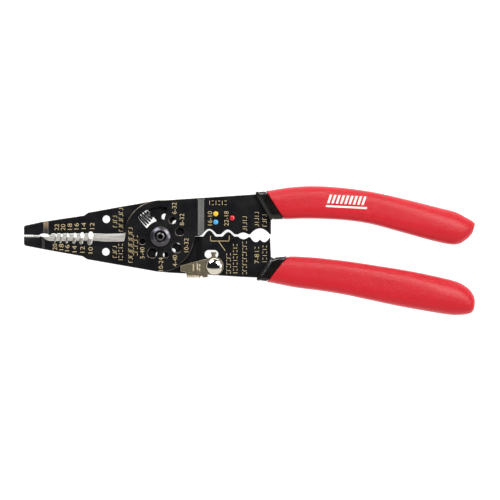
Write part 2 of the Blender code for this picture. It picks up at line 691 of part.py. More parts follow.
def main():
    for obj in list(bpy.data.objects):
        bpy.data.objects.remove(obj)
    plate = material("black_oxide_steel", (0.022, 0.023, 0.028), 0.42, 0.6)
    dark = material("dark_steel", (0.06, 0.06, 0.065), 0.32, 1.0)
    chrome = material("bright_steel", (0.75, 0.74, 0.70), 0.15, 1.0)
    brass = material("plated_latch", (0.30, 0.27, 0.19), 0.38, 1.0)
    wire = material("spring_wire", (0.55, 0.54, 0.52), 0.3, 1.0)
    black = material("black_sleeve", (0.012, 0.012, 0.013), 0.2)
    red = material("red_grip", (0.62, 0.025, 0.045), 0.45)
    root = axis_empty("tool", (0.0, 0.0, 0.0))
    pivot = axis_empty("pivot_axis", (0.0, 0.0, 0.0), root)
    lock = axis_empty("lock_axis", (*RIVET, 0.0), root)
    build_front_half(plate, pivot)
    build_rear_half(plate, root)
    build_pivot(dark, root)
    build_latch_hardware(chrome, root)
    build_lock_lever(brass, lock)
    build_spring(wire, root)
    build_grip("upper", UPPER_GRIP, front_outline(), black, red, pivot)
    build_grip("lower", LOWER_GRIP, rear_outline(), black, red, root)
    settle(root)


main()
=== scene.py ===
"""Looks of the wire stripper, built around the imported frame.

Every CAD node is stood in for by a finer piece of the same size and place. Sizes are in
millimetres about the pliers' pivot, and made metres when a mesh is stored.
"""

import json
import math

import bmesh
import bpy
from mathutils import Matrix, Vector
from mathutils.bvhtree import BVHTree
from mathutils.geometry import tessellate_polygon


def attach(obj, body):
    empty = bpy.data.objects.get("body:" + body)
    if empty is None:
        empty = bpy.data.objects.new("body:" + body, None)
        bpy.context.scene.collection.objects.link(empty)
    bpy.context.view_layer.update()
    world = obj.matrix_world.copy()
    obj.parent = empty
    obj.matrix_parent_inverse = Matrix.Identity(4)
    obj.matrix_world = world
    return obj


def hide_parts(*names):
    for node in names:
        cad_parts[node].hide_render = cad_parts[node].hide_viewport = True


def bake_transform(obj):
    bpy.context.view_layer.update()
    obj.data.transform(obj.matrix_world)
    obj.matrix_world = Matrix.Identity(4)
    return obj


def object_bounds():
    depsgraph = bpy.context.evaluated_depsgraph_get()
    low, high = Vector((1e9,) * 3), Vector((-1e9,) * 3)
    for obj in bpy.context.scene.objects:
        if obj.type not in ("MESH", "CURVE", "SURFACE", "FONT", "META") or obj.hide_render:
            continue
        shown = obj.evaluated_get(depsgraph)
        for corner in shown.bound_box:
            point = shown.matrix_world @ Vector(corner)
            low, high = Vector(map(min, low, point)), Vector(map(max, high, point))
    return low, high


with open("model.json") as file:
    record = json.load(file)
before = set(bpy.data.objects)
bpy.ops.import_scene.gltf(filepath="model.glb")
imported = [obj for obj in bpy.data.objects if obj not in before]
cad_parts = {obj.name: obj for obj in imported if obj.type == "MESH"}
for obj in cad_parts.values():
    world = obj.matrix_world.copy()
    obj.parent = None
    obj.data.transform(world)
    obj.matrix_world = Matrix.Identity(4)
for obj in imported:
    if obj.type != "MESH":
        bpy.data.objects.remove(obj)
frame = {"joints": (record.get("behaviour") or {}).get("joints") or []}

MM = 0.001
CAD_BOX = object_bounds()
JOINTS = {joint["name"]: Vector(joint["pos_m"]) for joint in frame["joints"]}
PIVOT = JOINTS["plier_pivot"]
RIVET = tuple((JOINTS["lock_pivot"] - PIVOT).xy / MM)

# Plates: the edges are rounded, and only a share as much between the two plates' working edges
PLATE = 3.0
SLIDE_GAP = 0.1
EDGE_ROUND = 0.35
EDGE_STEPS = 4
WORKING_EDGE = 0.3
WORKING_REACH = 3.2
LEVEL = (PLATE + SLIDE_GAP) / 2
FRONT_TOP = SLIDE_GAP / 2 + PLATE
REAR_TOP = -SLIDE_GAP / 2
TAIL_TOP = FRONT_TOP - LEVEL
NOSE_X = -67.2
DIE_END_X = 54.4
FRONT_NOSE_JOGGLE = (-58.8, -56.4)
FRONT_TAIL_JOGGLE = (18.0, 21.9)
REAR_NOSE_JOGGLE = (-57.85, -54.9)
REAR_TAIL_JOGGLE = (17.1, 20.9)
JOGGLE_STEPS = 12

# Pivot disc
FRONT_DISC_R = 17.9
FRONT_SWEEP_R = 17.3
FRONT_SHOULDER_R = 16.45
REAR_DISC_R = 17.1
PIVOT_HOLE_R = 3.5
OPENING_DEG = 25.0

# Screw shear: hole radius, distance from the pivot and bearing in the closed tool
SHEAR_HOLES = (
    (1.755, 10.0, 53.5),
    (2.085, 9.85, 14.7),
    (2.415, 9.74, -34.5),
    (1.42, 9.38, -73.4),
    (2.415, 9.03, -116.5),
    (1.59, 9.15, 194.8),
)
THREAD_DEPTH = 0.25
HOLE_POINTS = 48

# Windows for the spring: inner and outer radius, then each end's bearing at those two radii
FRONT_WINDOW = ((7.4, 15.1), (75.0, 75.0), (153.5, 141.0))
REAR_WINDOW = ((7.4, 15.1), (97.5, 115.5), (175.0, 175.0))
WINDOW_CORNER = 0.8
LOOP_HOLE_R = 1.87
REAR_LOOP_HOLE = (-26.7, 8.56)
FRONT_LOOP_HOLE = (-26.8, -7.5)

# Stripping edge: notch position and radius, and the hollow-ground bevel behind it
NOTCHES = ((-51.4, 0.43), (-48.6, 0.53), (-45.5, 0.67), (-42.0, 0.83), (-38.45, 1.04), (-34.2, 1.31))
NOTCH_Y = 0.64
NOTCH_LEAN = 0.16
BEVEL_WIDTH = 3.9
BEVEL_DEPTH = 2.75
BEVEL_TOP = 1.95
BEVEL_REACH = 7.0
BEVEL_STEPS = 16
BEVEL_EDGE = (
    (-58.6, -0.35), (-57.6, -0.65), (-56.6, -1.3), (-55.5, -1.85), (-54.2, -2.12), (-50.0, -2.15),
    (-33.0, -2.05), (-28.0, -2.42), (-22.5, -2.5), (-20.0, -2.45), (-18.35, -2.35), (-17.8, -2.05),
    (-17.65, -1.5),
)
BEVEL_RUN_OUT = 0.55

# Noses: the front one's edge, the gap to the rear one, the ground strip and the comb of teeth
NOSE_EDGE = 0.36
NOSE_GAP = 0.34
NOSE_STRIP = (0.62, 0.3)
NOSE_STRIP_END = -59.4
NOSE_TEETH = 5
NOSE_TOOTH_PITCH = 0.88
NOSE_TOOTH_DEPTH = 0.5
NOSE_TOOTH_WIDTH = 0.68

# Crimp dies: centre, half width, height and fullness of each form along the die line
FRONT_DIES = ((23.9, 4.0, 2.9, 1.5), (33.1, 3.6, 2.35, 1.5), (40.7, 2.6, 0.9, 1.2), (48.95, 4.8, 2.95, 1.0))
REAR_DIES = ((24.05, 3.15, 2.95, 1.5), (33.4, 3.0, 2.2, 1.5), (40.7, 2.5, -1.15, 1.2))
REAR_LOBES = ((46.95, 2.65, -2.4, 1.0), (51.05, 2.65, -2.4, 1.0))
DIE_STEP = 0.2

# Pivot: a barrel whose coned rim steepens between two slopes, and a screw with a hexagon socket in
# each end. Painted shade fills what lies inside the first radius and fades out at the second
BARREL_HEAD_R = 5.0
BARREL_SHANK_R = 3.45
BARREL_HEAD_TOP = 4.95
BARREL_RECESS_R = 2.75
BARREL_CREST_R = 3.25
BARREL_SLOPES = (16.0, 23.0)
BARREL_EDGE = 0.35
BARREL_GROOVE_DEPTH = 1.6
BARREL_SHADE = (2.8, 3.15)
SCREW_SHADE = (1.0, 1.25)
BORE_GAP = 0.08
SCREW_DEPTH = 0.75
SCREW_R = 2.2
SCREW_HEAD_R = 4.7
HEAD_EDGE = 0.6
END_SOCKET = (2.1, 1.45)
HEAD_SOCKET = (4.0, 1.6)
SOCKET_TURN = 13
WASHER_THICKNESS = 0.6
PIVOT_WASHER_R = (2.5, 5.4)
PIVOT_WASHER_SHADE = (2.4, 2.6)
REST_PLANE = -6.25

# Thumb lock
RIVET_HEAD_R = 4.0
RIVET_RIM = 0.35
RIVET_DOME = 1.25
RIVET_SHANK_R = 1.95
RIVET_TAIL = ((3.0, 0.0), (3.0, -0.5), (2.2, -1.1), (0.0, -1.3))
LOCK_WASHER_R = (2.1, 3.7)
LATCH_Z = (1.6, 3.05)
LATCH_HOLE_R = 2.0
LATCH_ROUND = 0.2
LATCH_SINK = 0.5
THUMB = (12.95, -20.15, 19.1, -19.2)
THUMB_RISE = 2.2
HOOK = (24.8, -8.7, 27.5, -7.6)
TAIL_END = -1.2
LEVER_MARKS = ((16.2, -15.2, 3.5), (18.2, -14.9, 3.5), (19.3, -14.2, 1.4), (19.3, -16.2, 1.4))
SLOT_R = 2.0
SLOT_SPAN = (23.75, 26.45)
SLOT_Y = -8.65

# Return spring, from its small end in the rear window to its big end in the front one
SPRING_ENDS = ((-5.04, 11.09), (-9.2, 7.47))
SPRING_RADII = (1.8, 2.75)
SPRING_WIRE_R = 0.44
SPRING_TURNS = 4.5
SPRING_TAPER = 0.5
SPRING_CLOSED_TURNS = 0.75
SPRING_STEPS = 40
WIRE_POINTS = 14

# Grips: wall, gaps and the power of each station's oval section, where 2 is an ellipse and more is
# squarer, then the stations as (top point, bottom point, half thickness)
COVER_WALL = 1.3
COVER_GAP = 0.15
TANG_GAP = 0.15
SECTION_POINTS = 80
COVER_POWERS = (2.7, 2.9, 3.3, 3.5, 3.5, 3.4, 3.1, 2.5, 2.2, 2.1, 2.0, 2.0)
COLLAR_POWER = 8.0
MARK_ROOM = 0.04
UPPER_GRIP = (
    ((47.0, 22.0), (54.8, 8.15), 5.7), ((51.8, 22.5), (60.8, 8.45), 6.1),
    ((65.0, 24.4), (70.0, 8.8), 6.25), ((77.4, 24.86), (80.0, 8.65), 6.25),
    ((91.0, 23.9), (91.0, 8.0), 6.25), ((104.9, 21.9), (103.0, 6.3), 6.25),
    ((120.6, 18.4), (117.0, 2.6), 6.25), ((135.0, 14.8), (131.0, -1.3), 6.1),
    ((145.0, 12.2), (141.5, -3.7), 5.6), ((150.2, 9.6), (146.6, -3.7), 4.9),
    ((153.4, 7.8), (150.6, -1.5), 3.6), ((154.9, 6.4), (153.4, 1.3), 2.0),
)
LOWER_GRIP = (
    ((55.1, -10.2), (47.5, -21.5), 5.7), ((62.6, -9.65), (52.4, -22.3), 6.1),
    ((73.5, -10.1), (66.0, -25.0), 6.25), ((82.0, -10.9), (77.5, -26.5), 6.25),
    ((93.0, -12.2), (90.0, -28.5), 6.25), ((104.9, -14.0), (101.0, -30.8), 6.25),
    ((120.6, -16.5), (117.0, -34.2), 6.25), ((135.0, -19.4), (131.5, -36.8), 6.1),
    ((146.0, -22.2), (142.5, -38.5), 5.6), ((151.4, -25.3), (149.0, -38.5), 4.9),
    ((154.0, -28.6), (152.9, -37.6), 3.6), ((154.8, -31.2), (154.4, -35.8), 2.0),
)
COLLAR_STATION = 1.0
COLLAR_SINK = 0.12

# The collar's front in (shrink, shift, thinning) rings: square face, rounded edge, sloping facet
COLLAR_FRONT = (
    (2.6, -0.6, 0.55), (0.35, -0.6, 0.55), (0.15, -0.5, 0.52), (0.06, -0.3, 0.46), (0.04, -0.1, 0.38),
    (0.06, 0.6, 0.06), (COLLAR_SINK, 0.85, 0.0),
)
SLEEVE_END = 9.6

# Markings: printed numbers, tick bars in place of words, enamel dots and the bars of the grip mark
PRINT = 0.03
NUMBER_HEIGHT = 2.15
GAUGE_LENGTH = 3.1
TICK_HEIGHT = 2.1
TICK_PITCH = 1.5
TICK_WIDTH = 0.26
NUMBER_THINNING = -0.006
DOT_R = 1.28
DOT_DOME = 0.45
MARK_CENTRE = (91.3, 16.9)
MARK_LENGTH = 20.0
MARK_TILT = -3.0
MARK_BARS = 9
MARK_SINK = 0.04

# Studio: colours of the walls and of the dark ceiling, then the parts of a direction's Y and Z
# between which one fades into the other
WALL_COLOUR = (0.80, 0.76, 0.69)
CEILING_COLOUR = (0.014, 0.0145, 0.016)
CEILING_FRONT = (-0.30, -0.14)
CEILING_HEIGHT = (0.30, 0.48)
FLOOR_RADIUS = 3000
FLOOR_DROP = 0.0002
LIGHT_DISTANCE = 1.0
CAMERA_DISTANCE = 1.5
CAMERA_OFFSET = (0.0002, 0.0003)
FRAME_MARGIN = 1.1085


# --- plane geometry ---------------------------------------------------------------------

def polar(radius, degrees):
    return (radius * math.cos(math.radians(degrees)), radius * math.sin(math.radians(degrees)))


def ramp(x, start, end):
    return min(1.0, max(0.0, (x - start) / (end - start)))


def quarter(count):
    """Angles from 0 to a right angle."""
    return [math.pi / 2 * i / count for i in range(count + 1)]


def arc(radius, start, end, centre=(0.0, 0.0), step=3.0):
    """Points along a circle's arc, both ends included."""
    count = max(2, math.ceil(abs(end - start) / step))
    turns = (start + (end - start) * i / count for i in range(count + 1))
    return [(centre[0] + x, centre[1] + y) for x, y in (polar(radius, a) for a in turns)]


def rounded(points, step=9.0):
    """A polygon whose corners given as (x, y, r) are filleted; (x, y) corners stay sharp."""
    out = []
    for i, point in enumerate(points):
        corner = Vector(point[:2])
        radius = point[2] if len(point) > 2 else 0.0
        back = (Vector(points[i - 1][:2]) - corner).normalized()
        ahead = (Vector(points[(i + 1) % len(points)][:2]) - corner).normalized()
        half = back.angle(ahead) / 2
        if half > math.radians(89.98):
            continue
        if not radius or half > math.radians(88):
            out.append(tuple(corner))
            continue
        reach = radius / math.tan(half)
        centre = corner + (back + ahead).normalized() * radius / math.sin(half)
        first, last = corner + back * reach - centre, corner + ahead * reach - centre
        turn = first.angle_signed(last)
        count = max(2, round(abs(math.degrees(turn)) / step))
        for j in range(count + 1):
            spoke = Matrix.Rotation(-turn * j / count, 2) @ first
            out.append(tuple(centre + spoke))
    return out


def inset(loop, distance):
    """The loop moved to the left of its own direction: into the plate, for an edge or a hole."""
    out = []
    for i, point in enumerate(loop):
        here = Vector(point)
        before = (here - Vector(loop[i - 1])).normalized()
        after = (Vector(loop[(i + 1) % len(loop)]) - here).normalized()
        normal = Vector((-before.y - after.y, before.x + after.x)).normalized()
        reach = max(0.5, normal.dot(Vector((-after.y, after.x))))
        out.append(tuple(here + normal * distance / reach))
    return out


def eased(loop, distance):
    """An inset that is smaller along the working edges between the two plates."""
    out = []
    for (x, y), (near_x, near_y) in zip(loop, inset(loop, distance)):
        share = WORKING_EDGE + (1 - WORKING_EDGE) * ramp(abs(y), WORKING_REACH, WORKING_REACH + 1.0)
        out.append((x + (near_x - x) * share, y + (near_y - y) * share))
    return out


def round_hole(x, y, radius):
    spots = (polar(radius, -360 * i / HOLE_POINTS) for i in range(HOLE_POINTS))
    return [(x + px, y + py) for px, py in spots]


def window(radii, start, end):
    """A slot curved about the pivot, clockwise, with straight ends and rounded corners."""
    inner, outer = radii
    clear = 1.6 * WINDOW_CORNER
    near = math.degrees(clear / inner)
    far = math.degrees(clear / outer)
    loop = [(*polar(inner, start[0]), WINDOW_CORNER)] + arc(inner, start[0] + near, end[0] - near)
    loop += [(*polar(inner, end[0]), WINDOW_CORNER), (*polar(outer, end[1]), WINDOW_CORNER)]
    loop += arc(outer, end[1] - far, start[1] + far) + [(*polar(outer, start[1]), WINDOW_CORNER)]
    return rounded(loop)[::-1]


def curve_through(rows, place):
    """The row at a fractional place along rows of numbers, on a smooth curve through them."""
    last = len(rows) - 1
    i = min(int(place), last - 1)
    t = place - i
    near = [rows[min(max(k, 0), last)] for k in (i - 1, i, i + 1, i + 2)]
    out = []
    for a, b, c, d in zip(*near):
        out.append(b + 0.5 * t * (c - a + t * (2 * a - 5 * b + 4 * c - d + t * (3 * (b - c) + d - a))))
    return out


# --- materials --------------------------------------------------------------------------

class Look:
    """A Principled material whose patterns are laid out in the object's own space."""

    def __init__(self, name, colour, roughness, metallic=0.0, **values):
        self.material = bpy.data.materials.new(name)
        self.material.use_nodes = True
        self.material.diffuse_color = (*colour, 1.0)
        self.tree = self.material.node_tree
        self.shader = self.tree.nodes["Principled BSDF"]
        self.shader.inputs["Base Color"].default_value = (*colour, 1.0)
        self.shader.inputs["Roughness"].default_value = roughness
        self.shader.inputs["Metallic"].default_value = metallic
        for socket, value in values.items():
            self.shader.inputs[socket.replace("_", " ")].default_value = value
        source = self.add("TexCoord").outputs
        self.place = source["Object"]
        self.spot = self.add("SeparateXYZ", {0: self.place}).outputs
        self.facing = self.add("SeparateXYZ", {0: source["Normal"]}).outputs
        self.paint = (*colour, 1.0)

    def add(self, kind, inputs=None, **settings):
        node = self.tree.nodes.new("ShaderNode" + kind)
        for name, value in settings.items():
            setattr(node, name, value)
        for name, value in (inputs or {}).items():
            if isinstance(value, bpy.types.NodeSocket):
                self.tree.links.new(value, node.inputs[name])
            else:
                node.inputs[name].default_value = value
        return node

    def noise(self, size, detail=3.0, stretch=(1.0, 1.0, 1.0)):
        """Noise with features about size mm across, stretched along the object's axes."""
        scale = [1 / part for part in stretch]
        spot = self.add("Mapping", {"Vector": self.place, "Scale": scale}).outputs[0]
        values = {"Vector": spot, "Scale": 1 / (size * MM), "Detail": detail}
        return self.add("TexNoise", values).outputs[0]

    def span(self, source, low, high, to_low=0.0, to_high=1.0):
        """Maps low..high of a value onto to_low..to_high."""
        values = {"Value": source, "From Min": low, "From Max": high}
        values.update({"To Min": to_low, "To Max": to_high})
        return self.add("MapRange", values).outputs[0]

    def times(self, one, two, operation="MULTIPLY"):
        return self.add("Math", {0: one, 1: two}, operation=operation).outputs[0]

    def tint(self, mask, colour):
        """Mixes a colour over the paint where the mask is 1."""
        layers = {0: mask, 6: self.paint, 7: (*colour, 1.0)}
        self.paint = self.add("Mix", layers, data_type="RGBA").outputs[2]
        self.tree.links.new(self.paint, self.shader.inputs["Base Color"])

    def patch(self, pattern, low, high, most, colour):
        """Mixes a colour in as a pattern rises from low to high, up to the share most."""
        self.tint(self.span(pattern, low, high, 0.0, most), colour)

    def rough(self, source, low, high):
        """Roughness that follows a pattern between two values."""
        self.tree.links.new(self.span(source, 0.3, 0.7, low, high), self.shader.inputs["Roughness"])

    def edges(self, radius, low=0.80, high=0.985):
        """1 on the edges that bend within radius mm, 0 on flat surfaces."""
        bent = self.add("Bevel", {"Radius": radius * MM}, samples=4).outputs[0]
        flat = self.add("NewGeometry").outputs["Normal"]
        facing = self.add("VectorMath", {0: bent, 1: flat}, operation="DOT_PRODUCT").outputs["Value"]
        return self.span(facing, low, high, 1.0, 0.0)

    def rim(self):
        """1 on the rounded edges of a flat piece, 0 on its flats, bends and walls."""
        slope = self.times(self.facing[2], 0.0, "ABSOLUTE")
        return self.times(self.span(slope, 0.84, 0.66), self.span(slope, 0.02, 0.2))

    def relief(self, *layers):
        """Bump from (pattern, height in mm) layers, laid over each other."""
        normal = None
        for source, height in layers:
            values = {"Height": source, "Distance": height * MM, "Strength": 1.0}
            if normal:
                values["Normal"] = normal
            normal = self.add("Bump", values).outputs[0]
        self.tree.links.new(normal, self.shader.inputs["Normal"])


def shade(colour, share):
    return [share * part for part in colour]


def disc_arc_highlight(look):
    """1 on the upper-left arc of the disc, where a painted tan highlight goes."""
    x = look.spot[0]
    return look.times(look.span(x, -6.0 * MM, -9.0 * MM), look.span(x, -19.0 * MM, -16.5 * MM))


def nose_bend_highlight(look):
    """1 on the bend behind the rear nose, which faces the pivot, and more so away from the gap: where a
    painted tan reflection goes.
    """
    slope = look.times(look.span(look.facing[0], 0.3, 0.42), look.span(look.facing[2], 0.6, 0.7))
    bend = look.times(slope, look.span(look.spot[0], -52.0 * MM, -54.0 * MM))
    return look.times(bend, look.span(look.spot[1], 3.0 * MM, 6.5 * MM, 0.0, 0.9))


def black_oxide():
    """Blackened plate steel, worn a little on its edges; tan and grey painted highlights on its edges and a
    painted tan reflection on the rear nose's bend.
    """
    look = Look("black_oxide", (0.0048, 0.0052, 0.0068), 0.28, 0.0, Specular_IOR_Level=0.5)
    cloud = look.noise(7.0, 4.0)
    grain = look.noise(0.22, 2.0)
    scuff = look.noise(1.6, 5.0, (6.0, 1.0, 1.0))
    rim = look.rim()
    look.patch(cloud, 0.42, 0.7, 0.55, (0.0072, 0.0073, 0.0084))
    look.patch(scuff, 0.66, 0.78, 0.2, (0.035, 0.033, 0.031))
    look.tint(look.times(rim, 0.5), (0.035, 0.034, 0.035))
    # painted highlight: grey on the rounded edges that face the tail (+X)
    tail_side = look.times(rim, look.span(look.facing[0], 0.3, 0.6))
    look.tint(look.times(tail_side, 0.6), (0.20, 0.19, 0.17))
    # painted highlight: tan on the rounded edges that face up (+Y), broken up in patches and full on the
    # disc's upper arc
    patches = look.span(look.noise(1.5, 4.0), 0.36, 0.6, 0.25, 0.75)
    upward = look.times(rim, look.span(look.facing[1], 0.25, 0.55))
    highlight_share = look.times(patches, disc_arc_highlight(look), "MAXIMUM")
    look.tint(look.times(upward, highlight_share), (0.66, 0.52, 0.37))
    # painted reflection: tan on the rear nose's bend
    look.tint(nose_bend_highlight(look), (0.24, 0.165, 0.08))
    look.rough(cloud, 0.18, 0.27)
    look.relief((cloud, 0.008), (grain, 0.005), (scuff, 0.004))
    return look.material


def ground_steel(name, share):
    """Steel ground along the blade, with painted highlights on its edges and on the walls that face the
    nose; share scales how bright it is.
    """
    look = Look(name, shade((0.46, 0.455, 0.44), share), 0.42, 0.7)
    lines = look.noise(0.3, 2.0, (40.0, 1.0, 1.0))
    waves = look.times(look.times(look.spot[1], 2 * math.pi / (0.92 * MM)), 0.0, "SINE")
    look.patch(waves, 0.45, 0.9, 0.9, shade((0.13, 0.127, 0.124), share))
    cloud = look.noise(2.5)
    look.patch(cloud, 0.35, 0.7, 0.4, shade((0.32, 0.315, 0.31), share))
    look.patch(lines, 0.48, 0.62, 0.75, shade((0.20, 0.195, 0.19), share))
    # painted highlight: pale on the sharp edges
    look.tint(look.edges(0.2), (0.70, 0.69, 0.66))
    # painted highlight: pale on the walls that face the nose (-X), made less metallic there
    lit_end_wall = look.span(look.facing[0], -0.25, -0.55)
    look.tint(lit_end_wall, (0.80, 0.79, 0.76))
    look.tree.links.new(look.span(lit_end_wall, 0.0, 1.0, 0.7, 0.05), look.shader.inputs["Metallic"])
    look.rough(lines, 0.34, 0.5)
    look.relief((lines, 0.008), (cloud, 0.01))
    return look.material


def turned_steel(name, colour, roughness, recess):
    """Dark steel with fine turned rings about the object's Z axis, and painted shade inside the recess."""
    look = Look(name, colour, roughness, 0.85)
    x, y, _ = look.spot
    radius = look.times(look.times(look.times(x, x), look.times(y, y), "ADD"), 0.5, "POWER")
    rings = look.times(look.times(radius, 2 * math.pi / (0.5 * MM)), 0.0, "SINE")
    cloud = look.noise(3.0, 2.0)
    look.patch(cloud, 0.4, 0.7, 0.5, shade(colour, 0.75))
    look.patch(rings, 0.2, 1.0, 0.35, shade(colour, 0.6))
    # painted shade: near black inside the recess radius, fading out
    look.tint(look.span(radius, recess[1] * MM, recess[0] * MM), (0.006, 0.006, 0.007))
    look.rough(cloud, roughness - 0.04, roughness + 0.06)
    look.relief((cloud, 0.002))
    return look.material


def polished_steel():
    look = Look("polished_steel", (0.90, 0.87, 0.80), 0.05, 1.0)
    haze = look.noise(1.5, 4.0)
    look.patch(haze, 0.45, 0.75, 0.3, (0.78, 0.73, 0.64))
    look.tint(look.times(look.edges(0.25), 0.6), (0.32, 0.27, 0.19))
    look.rough(haze, 0.04, 0.09)
    look.relief((look.noise(0.9, 2.0), 0.002))
    return look.material


def latch_plating():
    look = Look("latch_plating", (0.185, 0.158, 0.108), 0.38, 0.75)
    brushed = look.noise(0.16, 3.0, (14.0, 2.0, 1.0))
    cloud = look.noise(2.2, 4.0)
    look.patch(cloud, 0.42, 0.62, 0.8, (0.10, 0.085, 0.058))
    look.patch(brushed, 0.52, 0.75, 0.6, (0.47, 0.41, 0.29))
    # painted highlight: paler on the raised thumb flange
    thumb = ((LATCH_Z[1] + 0.1) * MM, (LATCH_Z[1] + 1.2) * MM)
    look.patch(look.spot[2], *thumb, 0.75, (0.82, 0.72, 0.56))
    # painted highlight: pale on the rounded edges
    look.tint(look.times(look.rim(), 0.9), (0.85, 0.76, 0.58))
    look.rough(cloud, 0.28, 0.44)
    look.relief((brushed, 0.01), (cloud, 0.03))
    return look.material


def raised_brass():
    look = Look("raised_brass", (0.66, 0.58, 0.42), 0.4, 0.4)
    cloud = look.noise(0.8, 4.0)
    look.patch(cloud, 0.42, 0.62, 0.5, (0.42, 0.37, 0.26))
    look.rough(cloud, 0.3, 0.45)
    look.relief((cloud, 0.01))
    return look.material


def drawn_wire():
    look = Look("drawn_wire", (0.10, 0.103, 0.11), 0.2, 1.0)
    haze = look.noise(0.8, 4.0)
    look.patch(haze, 0.5, 0.75, 0.6, (0.05, 0.05, 0.052))
    look.rough(haze, 0.18, 0.3)
    look.relief((look.noise(0.12, 2.0), 0.004))
    return look.material


def gloss_black():
    look = Look("gloss_black", (0.0052, 0.0048, 0.0046), 0.16, 0.0)
    cloud = look.noise(3.5, 3.0)
    look.patch(cloud, 0.45, 0.7, 0.6, (0.0082, 0.0076, 0.0074))
    look.tint(look.times(look.edges(0.2), 0.5), (0.04, 0.04, 0.04))
    look.rough(cloud, 0.12, 0.22)
    look.relief((cloud, 0.01), (look.noise(0.5, 2.0), 0.003))
    return look.material


def red_vinyl():
    look = Look("red_vinyl", (0.515, 0.0048, 0.0160), 0.36, 0.0, Specular_IOR_Level=0.4)
    cloud = look.noise(14.0, 3.0)
    grain = look.noise(0.6, 4.0)
    pores = look.noise(0.28, 2.0)
    look.patch(cloud, 0.4, 0.65, 0.5, (0.55, 0.0065, 0.020))
    look.patch(grain, 0.5, 0.75, 0.4, (0.455, 0.0040, 0.0135))
    bulge = look.add("NewGeometry").outputs["Pointiness"]
    look.patch(bulge, 0.53, 0.62, 0.5, (0.78, 0.03, 0.05))
    look.rough(grain, 0.29, 0.37)
    look.relief((cloud, 0.05), (grain, 0.13), (pores, 0.05))
    return look.material


def print_ink(name, colour, faded):
    """Thin printing that has rubbed through in specks."""
    look = Look(name, colour, 0.5)
    specks = look.noise(0.35, 4.0)
    look.patch(specks, 0.5, 0.72, 0.6, faded)
    look.rough(specks, 0.42, 0.6)
    look.relief((specks, 0.006))
    return look.material


def enamel(name, colour):
    look = Look(name, colour, 0.16, 0.0, Coat_Weight=0.5, Coat_Roughness=0.08)
    pool = look.noise(0.9, 2.0)
    look.patch(pool, 0.45, 0.7, 0.4, shade(colour, 0.72))
    # painted shade: darker on the dot's steep rim
    look.patch(look.facing[2], 0.8, 0.45, 0.9, shade(colour, 0.1))
    look.rough(pool, 0.12, 0.24)
    look.relief((pool, 0.012))
    return look.material


# --- meshes -----------------------------------------------------------------------------

def add_object(name, bm, *materials):
    """Stores the millimetre bmesh as an object in metres, with its origin on the pivot."""
    bmesh.ops.recalc_face_normals(bm, faces=bm.faces[:])
    bmesh.ops.scale(bm, vec=(MM, MM, MM), verts=bm.verts[:])
    mesh = bpy.data.meshes.new(name)
    bm.to_mesh(mesh)
    bm.free()
    for material in materials:
        mesh.materials.append(material)
    obj = bpy.data.objects.new(name, mesh)
    bpy.context.scene.collection.objects.link(obj)
    obj.location = PIVOT
    return obj


def combine(obj, bm, operation, material=None):
    """A Boolean with a mesh that is removed once the object has settled."""
    tool = add_object(obj.name + "_tool", bm, *([material] if material else []))
    boolean = obj.modifiers.new(tool.name, "BOOLEAN")
    boolean.operation = operation
    boolean.solver = "EXACT"
    boolean.material_mode = "TRANSFER" if material else "INDEX"
    boolean.object = tool
    return tool


def finish_mesh(obj, sharp=32.0, tools=()):
    """Applies the Booleans, marks the sharp edges and evens out the shading of flat faces."""
    if tools:
        bpy.context.view_layer.update()
        graph = bpy.context.evaluated_depsgraph_get()
        mesh = bpy.data.meshes.new_from_object(obj.evaluated_get(graph), depsgraph=graph)
        obj.modifiers.clear()
        obj.data = mesh
        mesh.name = obj.name
        for tool in tools:
            bpy.data.objects.remove(tool)
    for face in obj.data.polygons:
        face.use_smooth = True
    obj.data.set_sharp_from_angle(angle=math.radians(sharp))
    even = obj.modifiers.new("even_shading", "WEIGHTED_NORMAL")
    even.keep_sharp = True
    return obj


def stand_for(obj, node, body):
    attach(obj, body)
    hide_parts(node)


def stack(levels):
    """A bmesh of equal rings joined in order, closed at both ends."""
    bm = bmesh.new()
    rings = [[bm.verts.new(point) for point in ring] for ring in levels]
    count = len(rings[0])
    for lower, upper in zip(rings, rings[1:]):
        for i in range(count):
            j = (i + 1) % count
            bm.faces.new((lower[i], lower[j], upper[j], upper[i]))
    bm.faces.new(rings[0][::-1])
    bm.faces.new(rings[-1])
    return bm


def prism(loop, low, high):
    return stack([[(x, y, z) for x, y in loop] for z in (low, high)])


def merged(parts):
    """One bmesh that holds several."""
    whole = bmesh.new()
    for part in parts:
        mesh = bpy.data.meshes.new("part")
        part.to_mesh(mesh)
        part.free()
        whole.from_mesh(mesh)
        bpy.data.meshes.remove(mesh)
    return whole


def lathe(profile, count=72, centre=(0.0, 0.0)):
    """A bmesh turned about Z from (radius, z) points; a closed profile makes a ring."""
    bm = bmesh.new()
    closed = all(radius > 0 for radius, _ in profile)
    rings = []
    for radius, z in profile:
        if radius > 0:
            spots = (polar(radius, 360 * i / count) for i in range(count))
            rings.append([bm.verts.new((centre[0] + x, centre[1] + y, z)) for x, y in spots])
        else:
            rings.append([bm.verts.new((*centre, z))] * count)
    pairs = list(zip(rings, rings[1:])) + ([(rings[-1], rings[0])] if closed else [])
    for one, two in pairs:
        for i in range(count):
            j = (i + 1) % count
            corners = dict.fromkeys((one[i], one[j], two[j], two[i]))
            if len(corners) > 2:
                bm.faces.new(tuple(corners))
    return bm


def edge_levels(low, high, radius):
    """(z, inset) pairs that round a plate's two edges."""
    turns = quarter(EDGE_STEPS)
    below = [(low + radius * (1 - math.sin(a)), radius * (1 - math.cos(a))) for a in turns[::-1]]
    above = [(high - radius * (1 - math.sin(a)), radius * (1 - math.cos(a))) for a in turns]
    return below + above


